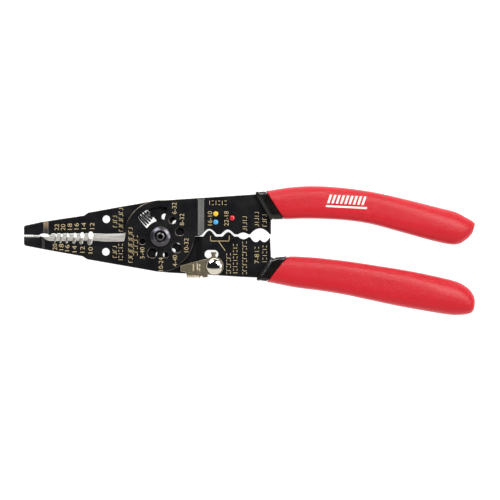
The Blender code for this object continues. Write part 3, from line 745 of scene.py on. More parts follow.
def rounded_plate(outer, holes, low, high, radius, crisp=(), crisp_radius=0.1):
    """A flat plate with every top and bottom edge rounded, the crisp holes less than the rest."""
    bm = bmesh.new()
    rings = []
    kinds = (([outer], radius, eased), (holes, radius, inset), (crisp, crisp_radius, inset))
    for loops, edge, shrink in kinds:
        steps = edge_levels(low, high, edge)
        for loop in loops:
            levels = [[(x, y, z) for x, y in shrink(loop, depth)] for z, depth in steps]
            rings.append([[bm.verts.new(point) for point in level] for level in levels])
    for levels in rings:
        for lower, upper in zip(levels, levels[1:]):
            for i in range(len(lower)):
                j = (i + 1) % len(lower)
                bm.faces.new((lower[i], lower[j], upper[j], upper[i]))
    for level in (0, -1):
        flat = [vert for levels in rings for vert in levels[level]]
        spots = [[vert.co.copy() for vert in levels[level]] for levels in rings]
        for a, b, c in tessellate_polygon(spots):
            bm.faces.new((flat[a], flat[b], flat[c]))
    return bm


def joggle_share(share):
    """The rise of a bend with rounded ends, from 0 to 1 over shares 0 to 1."""
    soft = 0.2
    slope = 1 / (1 - soft)
    if share < soft:
        return slope * share * share / (2 * soft)
    if share > 1 - soft:
        return 1 - slope * (1 - share) ** 2 / (2 * soft)
    return slope * (share - soft / 2)


def joggle(bm, bends, drop):
    """Shifts the plate by drop outside each bend: bends are (start, end) towards the ends."""
    for near, far in bends:
        for i in range(JOGGLE_STEPS + 1):
            x = near + (far - near) * i / JOGGLE_STEPS
            geometry = bm.verts[:] + bm.edges[:] + bm.faces[:]
            plane = {"plane_co": (x, 0, 0), "plane_no": (1, 0, 0)}
            bmesh.ops.bisect_plane(bm, geom=geometry, dist=1e-5, **plane)
    for vert in bm.verts:
        for near, far in bends:
            vert.co.z += drop * joggle_share(ramp(vert.co.x, near, far))


# --- plates -----------------------------------------------------------------------------

def form(x, centre, half, height, fullness):
    across = 1 - ((x - centre) / half) ** 2
    return height * across ** fullness if across > 0 else 0.0


def front_die_y(x):
    base = 0.12 + 0.38 * ramp(x, 19.0, 19.8) + 0.55 * ramp(x, 19.0, 27.0)
    return base + sum(form(x, *die) for die in FRONT_DIES)


def rear_die_y(x):
    base = 0.05 - 0.32 * ramp(x, 38.0, 43.0)
    return base + sum(form(x, *die) for die in REAR_DIES) + min(form(x, *lobe) for lobe in REAR_LOBES)


def die_line(height, start, end):
    count = round((end - start) / DIE_STEP)
    return [(x, height(x)) for x in (start + (end - start) * i / count for i in range(count + 1))]


def front_outline():
    jaw = [(NOSE_X, -4.4, 1.4), (-58.6, -6.05), (-49.2, -7.75), (-38.3, -9.7, 1.5), (-36.0, -11.2, 1.5)]
    disc = arc(FRONT_SWEEP_R, -103.4, -58.6) + arc(FRONT_SHOULDER_R, -54.0, -8.0) + [(17.0, 0.12)]
    die = die_line(front_die_y, 18.5, DIE_END_X)
    tang = [
        (DIE_END_X, 9.9, 1.2), (62.0, 10.9), (75.0, 11.2), (89.0, 10.7), (105.0, 8.6), (120.0, 4.6),
        (137.0, 0.3, 3.0), (139.0, 9.9, 3.0), (121.0, 15.4), (105.0, 19.0), (89.0, 21.3), (77.0, 22.0),
        (64.0, 21.6), (46.5, 20.85),
    ]
    back = arc(FRONT_DISC_R, 86.0, 172.5)
    blade = [(-17.9, 1.75), (-22.5, 1.45), (-27.0, 1.38), (-32.5, 1.62), (-53.4, 1.6, 1.0)]
    nose = [(-54.9, -0.15, 0.8), (-57.5, -0.25), (-59.8, NOSE_EDGE, 0.5), (NOSE_X, NOSE_EDGE, 0.45)]
    return rounded(jaw + disc + die + tang + back + blade + nose)


def rear_outline():
    edge = NOSE_EDGE + NOSE_GAP
    nose = [(NOSE_X, edge, 0.45), (-59.8, edge, 0.5), (-58.6, 1.4), (-57.2, 1.58)]
    nose += [(-55.8, 1.35), (-54.7, 0.7, 0.3)]
    blade = [(-53.6, -0.32, 0.6), (-17.4, -0.32)]
    disc = arc(REAR_DISC_R, 182.0, 260.0) + [(0.0, -17.4), (4.9, -17.85)]
    belly = [(12.0, -18.2), (24.6, -18.9), (39.4, -19.85)]
    tang = [
        (50.0, -20.3), (58.0, -20.9), (73.0, -23.2), (89.0, -25.7), (112.0, -30.7), (134.0, -34.9, 3.0),
        (136.5, -22.8, 3.0), (120.0, -19.1), (105.0, -16.6), (89.0, -14.3), (73.0, -12.6), (62.0, -12.1),
        (DIE_END_X + 0.1, -12.0, 1.2),
    ]
    die = [(DIE_END_X - 0.4, -0.27)] + die_line(rear_die_y, 17.6, DIE_END_X - 0.9)[::-1]
    back = arc(REAR_DISC_R - 0.1, 0.3, 72.0) + [(1.6, 18.1, 2.0)]
    jaw = [
        (-4.9, 17.4), (-35.6, 11.9, 1.2), (-37.8, 10.4, 1.2), (-49.2, 8.75), (-58.6, 7.25),
        (-66.0, 5.65), (NOSE_X, 5.35, 1.0),
    ]
    return rounded(nose + blade + disc + belly + tang + die + back + jaw)


def shear_holes(turn, less=0.0):
    holes = []
    for radius, distance, bearing in SHEAR_HOLES:
        x, y = polar(distance, bearing + turn)
        holes.append(round_hole(x, y, radius - less))
    return holes


def bevel_bm():
    """The ground space above the stripping edge, lofted along X, deepest at the edge."""
    stations = []
    count = (len(BEVEL_EDGE) - 1) * 3
    for i in range(count + 1):
        x, edge = curve_through(BEVEL_EDGE, i * (len(BEVEL_EDGE) - 1) / count)
        ring = [(x, edge - 0.4, FRONT_TOP + 1.0), (x, edge - 0.4, FRONT_TOP + 0.5)]
        for step in range(BEVEL_STEPS + 1):
            share = (step / BEVEL_STEPS) ** 1.5
            depth = BEVEL_DEPTH * (1 - (1 - share) ** 1.6)
            reach = BEVEL_WIDTH * share
            y = min(edge + reach, BEVEL_TOP - 0.01 * (BEVEL_REACH - reach))
            ring.append((x, y, FRONT_TOP - depth))
        far = min(edge + BEVEL_REACH, BEVEL_TOP)
        ring += [(x, far, FRONT_TOP - BEVEL_DEPTH), (x, far, FRONT_TOP + 1.0)]
        stations.append(ring)
    stations.append([(x + BEVEL_RUN_OUT, y, z + BEVEL_DEPTH) for x, y, z in ring])
    return stack(stations)


def notch_bm(x, radius):
    """A wire notch: a slot open at the stripping edge that runs out through the bevel at 45 degrees."""
    along = Vector((-NOTCH_LEAN, -1.0, 1.0)).normalized()
    across = Vector((1.0, 0.0, 0.0))
    up = along.cross(across).normalized()
    across = up.cross(along).normalized()
    turns = (math.pi * i / 24 for i in range(25))
    section = [(radius * math.cos(a), -radius * math.sin(a)) for a in turns]
    section += [(-radius, 3.0), (radius, 3.0)]
    start = Vector((x, NOTCH_Y, 0.0))
    if (start + up).y < start.y:
        up = -up
    rings = []
    for reach in (-3.0, 7.5):
        rings.append([tuple(start + along * reach + across * u + up * v) for u, v in section])
    return stack(rings)


def teeth_bm(y, side):
    """A comb of small V cuts across a nose face, that opens towards side."""
    loop = []
    half = NOSE_TOOTH_WIDTH / 2
    for i in range(NOSE_TEETH):
        x = NOSE_X + 0.5 + i * NOSE_TOOTH_PITCH
        loop += [(x - half, y), (x, y - side * NOSE_TOOTH_DEPTH), (x + half, y)]
    loop += [(loop[-1][0], y + side * 0.4), (loop[0][0], y + side * 0.4)]
    return prism(loop, -3.0, 3.0)


def nose_strip_bm():
    """The narrow strip ground along the front nose's edge."""
    width, depth = NOSE_STRIP
    near, far = NOSE_EDGE - width, NOSE_EDGE + width
    section = [(near, TAIL_TOP), (far, TAIL_TOP - 2 * depth)]
    section += [(far, TAIL_TOP + 0.5), (near, TAIL_TOP + 0.5)]
    return stack([[(x, y, z) for y, z in section] for x in (NOSE_X - 1.0, NOSE_STRIP_END)])


def turned_over(bm):
    """The same cutter for the other plate: turned half round the line where the edges meet."""
    for vert in bm.verts:
        vert.co = Vector((vert.co.x, 2 * NOTCH_Y - vert.co.y, -vert.co.z))
    return bm


def build_plate(name, plate, bends, drop, bevel, notches, steels):
    oxide, ground, cut = steels
    joggle(plate, bends, drop)
    obj = add_object(name, plate, oxide)
    tools = [combine(obj, bevel, "DIFFERENCE", ground), combine(obj, notches, "DIFFERENCE", cut)]
    return finish_mesh(obj, tools=tools)


def build_front_plate(steels):
    holes = shear_holes(0.0) + [window(*FRONT_WINDOW), round_hole(0, 0, PIVOT_HOLE_R)]
    crisp = [round_hole(*FRONT_LOOP_HOLE, LOOP_HOLE_R)]
    plate = rounded_plate(front_outline(), holes, SLIDE_GAP / 2, FRONT_TOP, EDGE_ROUND, crisp)
    bends = (FRONT_NOSE_JOGGLE[::-1], FRONT_TAIL_JOGGLE)
    bevel = merged([bevel_bm(), nose_strip_bm()])
    notches = [notch_bm(*notch) for notch in NOTCHES]
    notches.append(teeth_bm(NOSE_EDGE, 1))
    obj = build_plate("front_plate", plate, bends, -LEVEL, bevel, merged(notches), steels)
    stand_for(obj, "front_half", "front")


def latch_slot():
    near = arc(SLOT_R, 90, 270, (SLOT_SPAN[0], SLOT_Y), 7.5)
    far = arc(SLOT_R, -90, 90, (SLOT_SPAN[1], SLOT_Y), 7.5)
    return (near + far)[::-1]


def build_rear_plate(steels):
    holes = shear_holes(OPENING_DEG, THREAD_DEPTH)
    holes += [window(*REAR_WINDOW), round_hole(0, 0, PIVOT_HOLE_R)]
    crisp = [round_hole(*REAR_LOOP_HOLE, LOOP_HOLE_R), latch_slot(), round_hole(*RIVET, LATCH_HOLE_R)]
    plate = rounded_plate(rear_outline(), holes, -FRONT_TOP, REAR_TOP, EDGE_ROUND, crisp)
    bends = (REAR_NOSE_JOGGLE[::-1], REAR_TAIL_JOGGLE)
    bevel = turned_over(bevel_bm())
    notches = [turned_over(notch_bm(*notch)) for notch in NOTCHES]
    notches.append(teeth_bm(NOSE_EDGE + NOSE_GAP, -1))
    obj = build_plate("rear_plate", plate, bends, LEVEL, bevel, merged(notches), steels)
    stand_for(obj, "rear_half", "rear")


# --- hardware ---------------------------------------------------------------------------

def hexagon(width):
    return [polar(width / math.sqrt(3), 60 * i + SOCKET_TURN) for i in range(6)]


def barrel_rim():
    """The turned rim of the barrel's head: a cone that steepens outward, then a rounded edge."""
    steps = 12
    inner, outer = (math.radians(slope) for slope in BARREL_SLOPES)
    radius, height = BARREL_CREST_R, BARREL_HEAD_TOP
    step = (BARREL_HEAD_R - BARREL_EDGE * (1 - math.sin(outer)) - radius) / steps
    points = [(radius, height)]
    for i in range(steps):
        radius += step
        height -= step * math.tan(inner + (outer - inner) * (i + 0.5) / steps)
        points.append((radius, height))
    centre = (radius - BARREL_EDGE * math.sin(outer), height - BARREL_EDGE * math.cos(outer))
    for i in range(1, 9):
        turn = outer + (math.pi / 2 - outer) * i / 8
        points.append((centre[0] + BARREL_EDGE * math.sin(turn), centre[1] + BARREL_EDGE * math.cos(turn)))
    return points


def build_barrel(steel):
    top = BARREL_HEAD_TOP
    base = FRONT_TOP + SLIDE_GAP
    floor = top - BARREL_GROOVE_DEPTH
    bore = SCREW_R + BORE_GAP
    foot = -FRONT_TOP + SLIDE_GAP
    lip = BARREL_CREST_R - BARREL_RECESS_R
    recess = [(BARREL_CREST_R - lip * math.cos(a), top - lip * (1 - math.sin(a))) for a in quarter(8)[:-1]]
    profile = [(bore, foot), (bore, floor - 0.1), (BARREL_RECESS_R, floor)] + recess + barrel_rim()
    profile += [(BARREL_HEAD_R, base + 0.1), (BARREL_HEAD_R - 0.1, base)]
    profile += [(BARREL_SHANK_R, base), (BARREL_SHANK_R, foot)]
    obj = finish_mesh(add_object("pivot_barrel_head", lathe(profile, 96), steel), 40)
    stand_for(obj, "pivot_barrel", "rear")


def build_screw(steel):
    tip = BARREL_HEAD_TOP - SCREW_DEPTH
    seat = -FRONT_TOP - 2 * SLIDE_GAP - WASHER_THICKNESS
    edge = HEAD_EDGE
    rim = [(SCREW_HEAD_R - edge * math.sin(a), REST_PLANE + edge * (1 - math.cos(a))) for a in quarter(6)]
    profile = [(0.0, tip), (SCREW_R - 0.45, tip), (SCREW_R - 0.1, tip - 0.18), (SCREW_R, tip - 0.4)]
    profile += [(SCREW_R, seat), (SCREW_HEAD_R - 0.1, seat), (SCREW_HEAD_R, seat - 0.1)]
    profile += rim + [(0.0, REST_PLANE)]
    obj = add_object("pivot_screw_body", lathe(profile, 90), steel)
    width, depth = END_SOCKET
    tools = [combine(obj, prism(hexagon(width), tip - depth, tip + 1), "DIFFERENCE")]
    width, depth = HEAD_SOCKET
    socket = prism(hexagon(width), REST_PLANE - 1, REST_PLANE + depth)
    tools.append(combine(obj, socket, "DIFFERENCE"))
    finish_mesh(obj, 40, tools)
    stand_for(obj, "pivot_screw", "rear")


def washer_profile(radii, top, edge=0.12):
    inner, outer = radii
    low = top - WASHER_THICKNESS
    return [
        (inner, low + edge), (inner + edge, low), (outer - edge, low), (outer, low + edge),
        (outer, top - edge), (outer - edge, top), (inner + edge, top), (inner, top - edge),
    ]


def build_washers(dark, bright):
    under = -FRONT_TOP - SLIDE_GAP
    ring = add_object("pivot_washer_ring", lathe(washer_profile(PIVOT_WASHER_R, under)), dark)
    stand_for(finish_mesh(ring), "pivot_washer", "rear")
    profile = washer_profile(LOCK_WASHER_R, -PLATE / 2 - SLIDE_GAP)
    ring = add_object("lock_washer_ring", lathe(profile, 72, RIVET), bright)
    stand_for(finish_mesh(ring), "lock_washer", "rear")


def dome(radius, base, rise, count):
    """The profile of a dome, from its middle down to its rim."""
    turns = quarter(count)[::-1]
    return [(0.0, base + rise)] + [(radius * math.cos(a), base + rise * math.sin(a)) for a in turns[1:]]


def build_rivet(steel):
    rim = LATCH_Z[1] + SLIDE_GAP + RIVET_RIM
    tail = -PLATE / 2 - 2 * SLIDE_GAP - WASHER_THICKNESS
    profile = dome(RIVET_HEAD_R, rim, RIVET_DOME, 20)
    profile += [(RIVET_HEAD_R, rim - RIVET_RIM + 0.08), (RIVET_HEAD_R - 0.08, rim - RIVET_RIM)]
    profile += [(RIVET_SHANK_R, rim - RIVET_RIM), (RIVET_SHANK_R, tail)]
    profile += [(radius, tail + z) for radius, z in RIVET_TAIL]
    obj = finish_mesh(add_object("lock_rivet_dome", lathe(profile, 96, RIVET), steel), 40)
    stand_for(obj, "lock_rivet", "rear")


def latch_outline():
    tip = [(9.75, -14.4, 0.5), (9.8, -16.9, 0.6), (12.4, -17.45, 0.5), (12.85, -18.7)]
    flange = [(12.85, -20.2, 0.4), (19.5, -20.2, 0.3), (19.9, -19.45, 0.3), (20.5, -19.45, 0.3)]
    flange += [(20.9, -20.2, 0.3), (23.2, -20.05, 0.4), (23.4, -18.4, 0.6)]
    eye = arc(4.55, -118.0, 75.0, RIVET)
    tail = [(27.1, -9.6, 0.5), (27.0, -7.6, 0.3), (25.2, -7.6, 0.3), (25.1, -9.9, 0.5)]
    back = [(23.2, -10.8, 1.0), (18.0, -12.1, 3.0)]
    return rounded(tip + flange + eye + tail + back)


def block(box, near, far, step=9.0):
    """A rectangle (left, low, right, high), its low and high corners filleted."""
    left, low, right, high = box
    return rounded([(left, low, near), (right, low, near), (right, high, far), (left, high, far)], step)


def build_lever(plating):
    low, high = LATCH_Z
    hole = round_hole(*RIVET, LATCH_HOLE_R)
    plate = rounded_plate(latch_outline(), [hole], low, high, LATCH_ROUND)
    obj = add_object("lock_lever_plate", plate, plating)
    foot = high - LATCH_SINK
    thumb = rounded_plate(block(THUMB, 0.4, 0.2), [], foot, high + THUMB_RISE, 0.18)
    hook = rounded_plate(block(HOOK, 0.2, 0.2), [], TAIL_END, foot, 0.15)
    tools = [combine(obj, thumb, "UNION"), combine(obj, hook, "UNION")]
    finish_mesh(obj, 35, tools)
    stand_for(obj, "lock_lever", "lock")


def build_lever_marks(plating):
    """Raised bars on the lever that show which way it locks."""
    bars = []
    for x, y, length in LEVER_MARKS:
        loop = block((x - 0.3, y - length / 2, x + 0.3, y + length / 2), 0.25, 0.25, 15.0)
        bars.append(rounded_plate(loop, [], LATCH_Z[1] - 0.05, LATCH_Z[1] + 0.12, 0.06))
    obj = finish_mesh(add_object("lock_lever_marks", merged(bars), plating))
    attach(obj, "lock")


def build_spring(wire):
    """A conical coil between the end of one window and the end of the other."""
    steps = round(SPRING_TURNS * SPRING_STEPS)
    small, big = (Vector((*point, 0.0)) for point in SPRING_ENDS)
    closed = SPRING_CLOSED_TURNS * 2.05 * SPRING_WIRE_R / (big - small).length
    ends = SPRING_CLOSED_TURNS / SPRING_TURNS
    outward = Vector((0, 0, 1)).cross(small - big).normalized()
    centres = []
    for i in range(steps + 1):
        share = i / steps
        radius = SPRING_RADII[0] + (SPRING_RADII[1] - SPRING_RADII[0]) * ramp(share, 0.0, SPRING_TAPER)
        turn = 2 * math.pi * SPRING_TURNS * share + math.pi
        spoke = outward * math.cos(turn) + Vector((0, 0, 1)) * math.sin(turn)
        reach = closed * (ramp(share, 0.0, ends) + ramp(share, 1 - ends, 1.0))
        reach += (1 - 2 * closed) * ramp(share, ends, 1 - ends)
        centres.append((small.lerp(big, reach) + spoke * radius, spoke))
    rings = []
    for i, (centre, spoke) in enumerate(centres):
        ahead = centres[min(i + 1, steps)][0] - centres[max(i - 1, 0)][0]
        lift = ahead.cross(spoke).normalized()
        turns = (2 * math.pi * k / WIRE_POINTS for k in range(WIRE_POINTS))
        offsets = (spoke * math.cos(a) + lift * math.sin(a) for a in turns)
        rings.append([tuple(centre + offset * SPRING_WIRE_R) for offset in offsets])
    obj = add_object("return_spring_coil", stack(rings), wire)
    finish_mesh(obj, 60)
    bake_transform(obj)
    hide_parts("return_spring")


# --- grips ------------------------------------------------------------------------------

def grip_ring(stations, place, shrink, shift=0.0, thin=0.0, power=None):
    """One section of a grip: an oval across the handle, squarer for a higher power."""
    rows = [[*top, *bottom, half, square] for (top, bottom, half), square in zip(stations, COVER_POWERS)]
    row = curve_through(rows, place)
    power = power or row[5]
    top, bottom = Vector(row[:2]), Vector(row[2:4])
    middle, up = (top + bottom) / 2, (top - bottom) / 2
    high = up.length - shrink
    half = min(row[4], -REST_PLANE - MARK_ROOM) - shrink - thin
    up = up.normalized()
    ahead = Vector((up.y, -up.x))
    ring = []
    for i in range(SECTION_POINTS):
        x, z = polar(1.0, 360 * i / SECTION_POINTS)
        x = math.copysign(abs(x) ** (2 / power), x)
        z = math.copysign(abs(z) ** (2 / power), z)
        across = middle + ahead * shift + up * x * high
        ring.append((across.x, across.y, z * half))
    return ring


def grip_places(start, end):
    """Stations along a grip, closer together towards its rounded end."""
    places = [start]
    while places[-1] < end - 0.09:
        places.append(places[-1] + (0.125 if places[-1] < 7.5 else 0.06))
    return places[:-1] + [end]


def rolled(stations, place, radius, lead, count=6):
    """Rings that roll from a square face over an edge onto the grip's side."""
    steps = [(radius * (1 - math.sin(a)), lead * (1 - math.cos(a))) for a in quarter(count)]
    return [grip_ring(stations, place, shrink, shift) for shrink, shift in steps]


def build_sleeve(name, stations, tang, body, black):
    """The black inner sleeve, which shows as a bevelled collar in front of the cover."""
    step = COVER_WALL + COVER_GAP
    rings = [grip_ring(stations, 0.0, *ring, COLLAR_POWER) for ring in COLLAR_FRONT]
    places = [COLLAR_STATION * k / 6 for k in range(2, 6)]
    rings += [grip_ring(stations, place, COLLAR_SINK, power=COLLAR_POWER) for place in places]
    rings.append(grip_ring(stations, COLLAR_STATION, COLLAR_SINK, -0.4, power=COLLAR_POWER))
    rings.append(grip_ring(stations, COLLAR_STATION, 0.7, -0.2))
    rings.append(grip_ring(stations, COLLAR_STATION, step, -0.1))
    rings += [grip_ring(stations, 2 + k * (SLEEVE_END - 2) / 12, step) for k in range(13)]
    obj = add_object(f"{name}_sleeve_collar", stack(rings), black)
    reach = PLATE / 2 + TANG_GAP
    tool = combine(obj, prism(inset(tang, -TANG_GAP), -reach, reach), "DIFFERENCE")
    finish_mesh(obj, 30, [tool])
    stand_for(obj, f"{name}_sleeve", body)


def build_cover(name, stations, body, red):
    """The red cover: a dipped shell with a rolled front edge and a closed end."""
    tip = len(stations) - 1.0
    outside = rolled(stations, COLLAR_STATION, 0.4, 0.45)
    outside += [grip_ring(stations, p, 0.0) for p in grip_places(COLLAR_STATION + 0.125, tip - 0.02)]
    outside += [grip_ring(stations, tip, shrink) for shrink in (0.25, 0.6, 1.1)]
    inside = [grip_ring(stations, COLLAR_STATION, COVER_WALL, 0.0)]
    inside += [grip_ring(stations, 2 + k * (SLEEVE_END - 1.85) / 12, COVER_WALL) for k in range(13)]
    obj = finish_mesh(add_object(f"{name}_grip_cover", stack(inside[::-1] + outside), red), 50)
    stand_for(obj, f"{name}_grip", body)
    return obj


# --- markings ---------------------------------------------------------------------------

def laid(bm, x, y, z, upright):
    """Turns a flat mark to read along +Y, unless it is upright, and sets it on a surface."""
    if not upright:
        bm.transform(Matrix.Rotation(math.pi / 2, 4, "Z"))
    bm.transform(Matrix.Translation((x, y, z)))
    return bm


def numbers(text, x, y, z, length, upright=False):
    """Printed numbers, fitted to a length and to the height of all numbers."""
    curve = bpy.data.curves.new("numbers", "FONT")
    curve.body = text
    curve.extrude = PRINT / 2
    curve.offset = NUMBER_THINNING
    curve.resolution_u = 4
    holder = bpy.data.objects.new("numbers", curve)
    bpy.context.scene.collection.objects.link(holder)
    bpy.context.view_layer.update()
    graph = bpy.context.evaluated_depsgraph_get()
    mesh = bpy.data.meshes.new_from_object(holder.evaluated_get(graph), depsgraph=graph)
    bpy.data.objects.remove(holder)
    bm = bmesh.new()
    bm.from_mesh(mesh)
    bpy.data.meshes.remove(mesh)
    bmesh.ops.remove_doubles(bm, verts=bm.verts[:], dist=1e-4)
    low = [min(vert.co[i] for vert in bm.verts) for i in range(2)]
    high = [max(vert.co[i] for vert in bm.verts) for i in range(2)]
    for vert in bm.verts:
        vert.co.x = (vert.co.x - (low[0] + high[0]) / 2) * length / (high[0] - low[0])
        vert.co.y = (vert.co.y - (low[1] + high[1]) / 2) * NUMBER_HEIGHT / (high[1] - low[1])
    return laid(bm, x, y, z + PRINT / 2, upright)


def bar(x, y, width, height):
    left, right = x - width / 2, x + width / 2
    low, high = y - height / 2, y + height / 2
    return prism([(left, low), (right, low), (right, high), (left, high)], 0.0, PRINT)


def ticks(x, y, z, length, upright=False):
    """A line of plain blocks, bars and dashes in place of a word."""
    count = max(2, round(length / TICK_PITCH))
    wide, tall = TICK_PITCH * 0.66, TICK_HEIGHT
    bars = []
    for i in range(count):
        spot = (i + 0.5 - count / 2) * length / count
        kind = (i * i + count) % 4
        side, level = (-1, 1) if kind == 0 else (1, -1)
        if kind < 2:
            bars.append(bar(spot + side * (wide - TICK_WIDTH) / 2, 0.0, TICK_WIDTH, tall))
            bars.append(bar(spot, level * (tall - TICK_WIDTH) / 2, wide, TICK_WIDTH))
        elif kind == 2:
            bars.append(bar(spot, 0.0, TICK_WIDTH, tall))
        else:
            bars += [bar(spot, level * (tall - TICK_WIDTH) / 2, wide, TICK_WIDTH) for level in (-1, 1)]
    return laid(merged(bars), x, y, z, upright)


def stroke(points, z, width=0.3):
    """A printed line of even width through the points."""
    parts = []
    for start, end in zip(points, points[1:]):
        one, two = Vector(start), Vector(end)
        along = (two - one).normalized() * width / 2
        side = Vector((-along.y, along.x))
        loop = [one - along - side, two + along - side, two + along + side, one - along + side]
        parts.append(prism([tuple(point) for point in loop], z, z + PRINT))
    return merged(parts)


def build_front_marks(ink):
    lower_row = (("20", -51.8, -5.1), ("18", -48.7, -5.1), ("16", -45.8, -5.6), ("14", -42.2, -6.1),
                 ("12", -38.3, -6.35), ("10", -34.3, -6.7))
    screws = (("6-32", 6.85, 13.9, 5.7), ("8-32", 10.6, 8.4, 5.7), ("10-32", 12.75, -4.25, 6.8),
              ("4-40", 7.15, -11.9, 5.6), ("10-24", 0.25, -13.55, 6.5), ("5-40", -8.9, -8.0, 5.6))
    words = ((-22.4, -7.55, 6.2), (-19.5, -7.75, 8.8), (-14.7, -4.2, 17.6), (-12.2, -4.35, 10.3))
    tail_words = ((41.5, 6.4, 7.4), (47.4, 8.55, 7.5), (51.2, 7.9, 6.5))
    parts = [numbers(text, x, y, FRONT_TOP, GAUGE_LENGTH) for text, x, y in lower_row]
    parts += [numbers(text, x, y, FRONT_TOP, length) for text, x, y, length in screws]
    parts += [ticks(x, y, FRONT_TOP, length) for x, y, length in words]
    parts += [numbers("16-10", 24.35, 9.0, TAIL_TOP, 6.9), numbers("22-18", 32.45, 8.9, TAIL_TOP, 7.2)]
    parts += [ticks(x, y, TAIL_TOP, length) for x, y, length in tail_words]
    parts.append(ticks(28.1, 16.6, TAIL_TOP, 9.4, upright=True))
    obj = finish_mesh(add_object("front_plate_marks", merged(parts), ink))
    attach(obj, "front")


def build_rear_marks(ink):
    upper_row = (("22", -51.1, 4.6), ("20", -48.0, 4.6), ("18", -44.7, 4.9), ("16", -41.4, 5.1),
                 ("14", -37.8, 5.3), ("12", -33.7, 5.3))
    words = ((-22.4, 7.4, 6.2), (-19.5, 8.25, 12.0))
    tail_words = ((41.4, -10.5, 16.6), (51.3, -8.6, 9.0), (33.5, -13.3, 10.6), (36.8, -11.0, 15.2))
    parts = [numbers(text, x, y, REAR_TOP, GAUGE_LENGTH) for text, x, y in upper_row]
    parts += [ticks(x, y, REAR_TOP, length) for x, y, length in words]
    parts += [ticks(x, y, TAIL_TOP, length) for x, y, length in tail_words]
    parts.append(numbers("7-8", 47.4, -10.9, TAIL_TOP, 4.6))
    parts.append(ticks(47.4, -6.4, TAIL_TOP, 3.6))
    parts.append(stroke([(24.65, 0.2), (24.65, -2.2), (33.8, -2.2), (33.8, 0.2)], TAIL_TOP))
    parts.append(stroke([(28.75, -2.6), (31.75, -6.8)], TAIL_TOP))
    obj = finish_mesh(add_object("rear_plate_marks", merged(parts), ink))
    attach(obj, "rear")


def build_dots():
    """Colour codes of the crimp sizes: drops of enamel on the front plate."""
    dots = (
        ("dot_yellow", 27.2, 11.2, (0.95, 0.52, 0.01)),
        ("dot_blue", 27.2, 7.1, (0.05, 0.38, 0.78)),
        ("dot_red", 35.3, 9.15, (0.62, 0.01, 0.025)),
    )
    for name, x, y, colour in dots:
        profile = dome(DOT_R, TAIL_TOP + 0.02, DOT_DOME, 8)
        profile += [(DOT_R, TAIL_TOP - 0.02), (0.0, TAIL_TOP - 0.02)]
        obj = finish_mesh(add_object(name, lathe(profile, 40, (x, y)), enamel(name, colour)), 60)
        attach(obj, "front")


def grip_mark_shapes():
    """Slanted bars over a line, each as four corners from its low left one."""
    shapes = []
    for i in range(MARK_BARS):
        x = (i - (MARK_BARS - 1) / 2) * MARK_LENGTH / (MARK_BARS + 0.5)
        shapes.append([(x - 1.0, -1.0), (x + 0.1, -1.0), (x + 1.3, 3.2), (x + 0.2, 3.2)])
    half, slant = MARK_LENGTH / 2, 0.3
    shapes.append([(-half, -2.9), (half, -2.9), (half + slant, -2.0), (slant - half, -2.0)])
    return shapes


def build_grip_mark(cover, ink):
    """A plain white emblem lying on the upper cover."""
    surface = BVHTree.FromObject(cover, bpy.context.evaluated_depsgraph_get())
    parts = []
    for shape in grip_mark_shapes():
        low_left, low_right, high_right, high_left = (Vector(point) for point in shape)
        across = max(1, round((low_right - low_left).length / 0.35))
        rows = []
        for j in range(9):
            left, right = low_left.lerp(high_left, j / 8), low_right.lerp(high_right, j / 8)
            rows.append([left.lerp(right, k / across) for k in range(across + 1)])
        parts.append(draped(rows, surface))
    obj = finish_mesh(add_object("grip_mark", merged(parts), ink), 60)
    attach(obj, "front")


def draped(rows, surface):
    """A thin sheet over a grid of points about the mark's centre, dropped onto the surface below."""
    centre = Vector(MARK_CENTRE)
    tilt = Matrix.Rotation(math.radians(MARK_TILT), 2)
    bm = bmesh.new()
    layers = []
    for lift in (-MARK_SINK, PRINT):
        grid = []
        for row in rows:
            spots = []
            for point in row:
                flat = centre + tilt @ point
                hit, *_ = surface.ray_cast(Vector((*flat, 20.0)) * MM, Vector((0, 0, -1)))
                spots.append(bm.verts.new((*flat, hit.z / MM + lift)))
            grid.append(spots)
        layers.append(grid)
    last_row, last = len(rows) - 1, len(rows[0]) - 1
    for grid in layers:
        for j in range(last_row):
            for k in range(last):
                bm.faces.new((grid[j][k], grid[j][k + 1], grid[j + 1][k + 1], grid[j + 1][k]))
    rim = [(0, k) for k in range(last)] + [(j, last) for j in range(last_row)]
    rim += [(last_row, k) for k in range(last, 0, -1)] + [(j, 0) for j in range(last_row, 0, -1)]
    for (a, b), (c, d) in zip(rim, rim[1:] + rim[:1]):
        under, over = layers
        bm.faces.new((under[a][b], under[c][d], over[c][d], over[a][b]))
    return bm


# --- studio -----------------------------------------------------------------------------

def build_floor():
    look = Look("studio_floor", (0.5, 0.5, 0.5), 0.8, Specular_IOR_Level=0.2)
    look.patch(look.noise(60.0), 0.4, 0.6, 0.4, (0.47, 0.47, 0.47))
    look.shader.inputs["Emission Color"].default_value = (1.0, 1.0, 1.0, 1.0)
    look.shader.inputs["Emission Strength"].default_value = 0.93
    bm = bmesh.new()
    bmesh.ops.create_circle(bm, cap_ends=True, radius=FLOOR_RADIUS, segments=96)
    floor = add_object("studio_floor", bm, look.material)
    floor.location = (0.0, 0.0, -FLOOR_DROP)


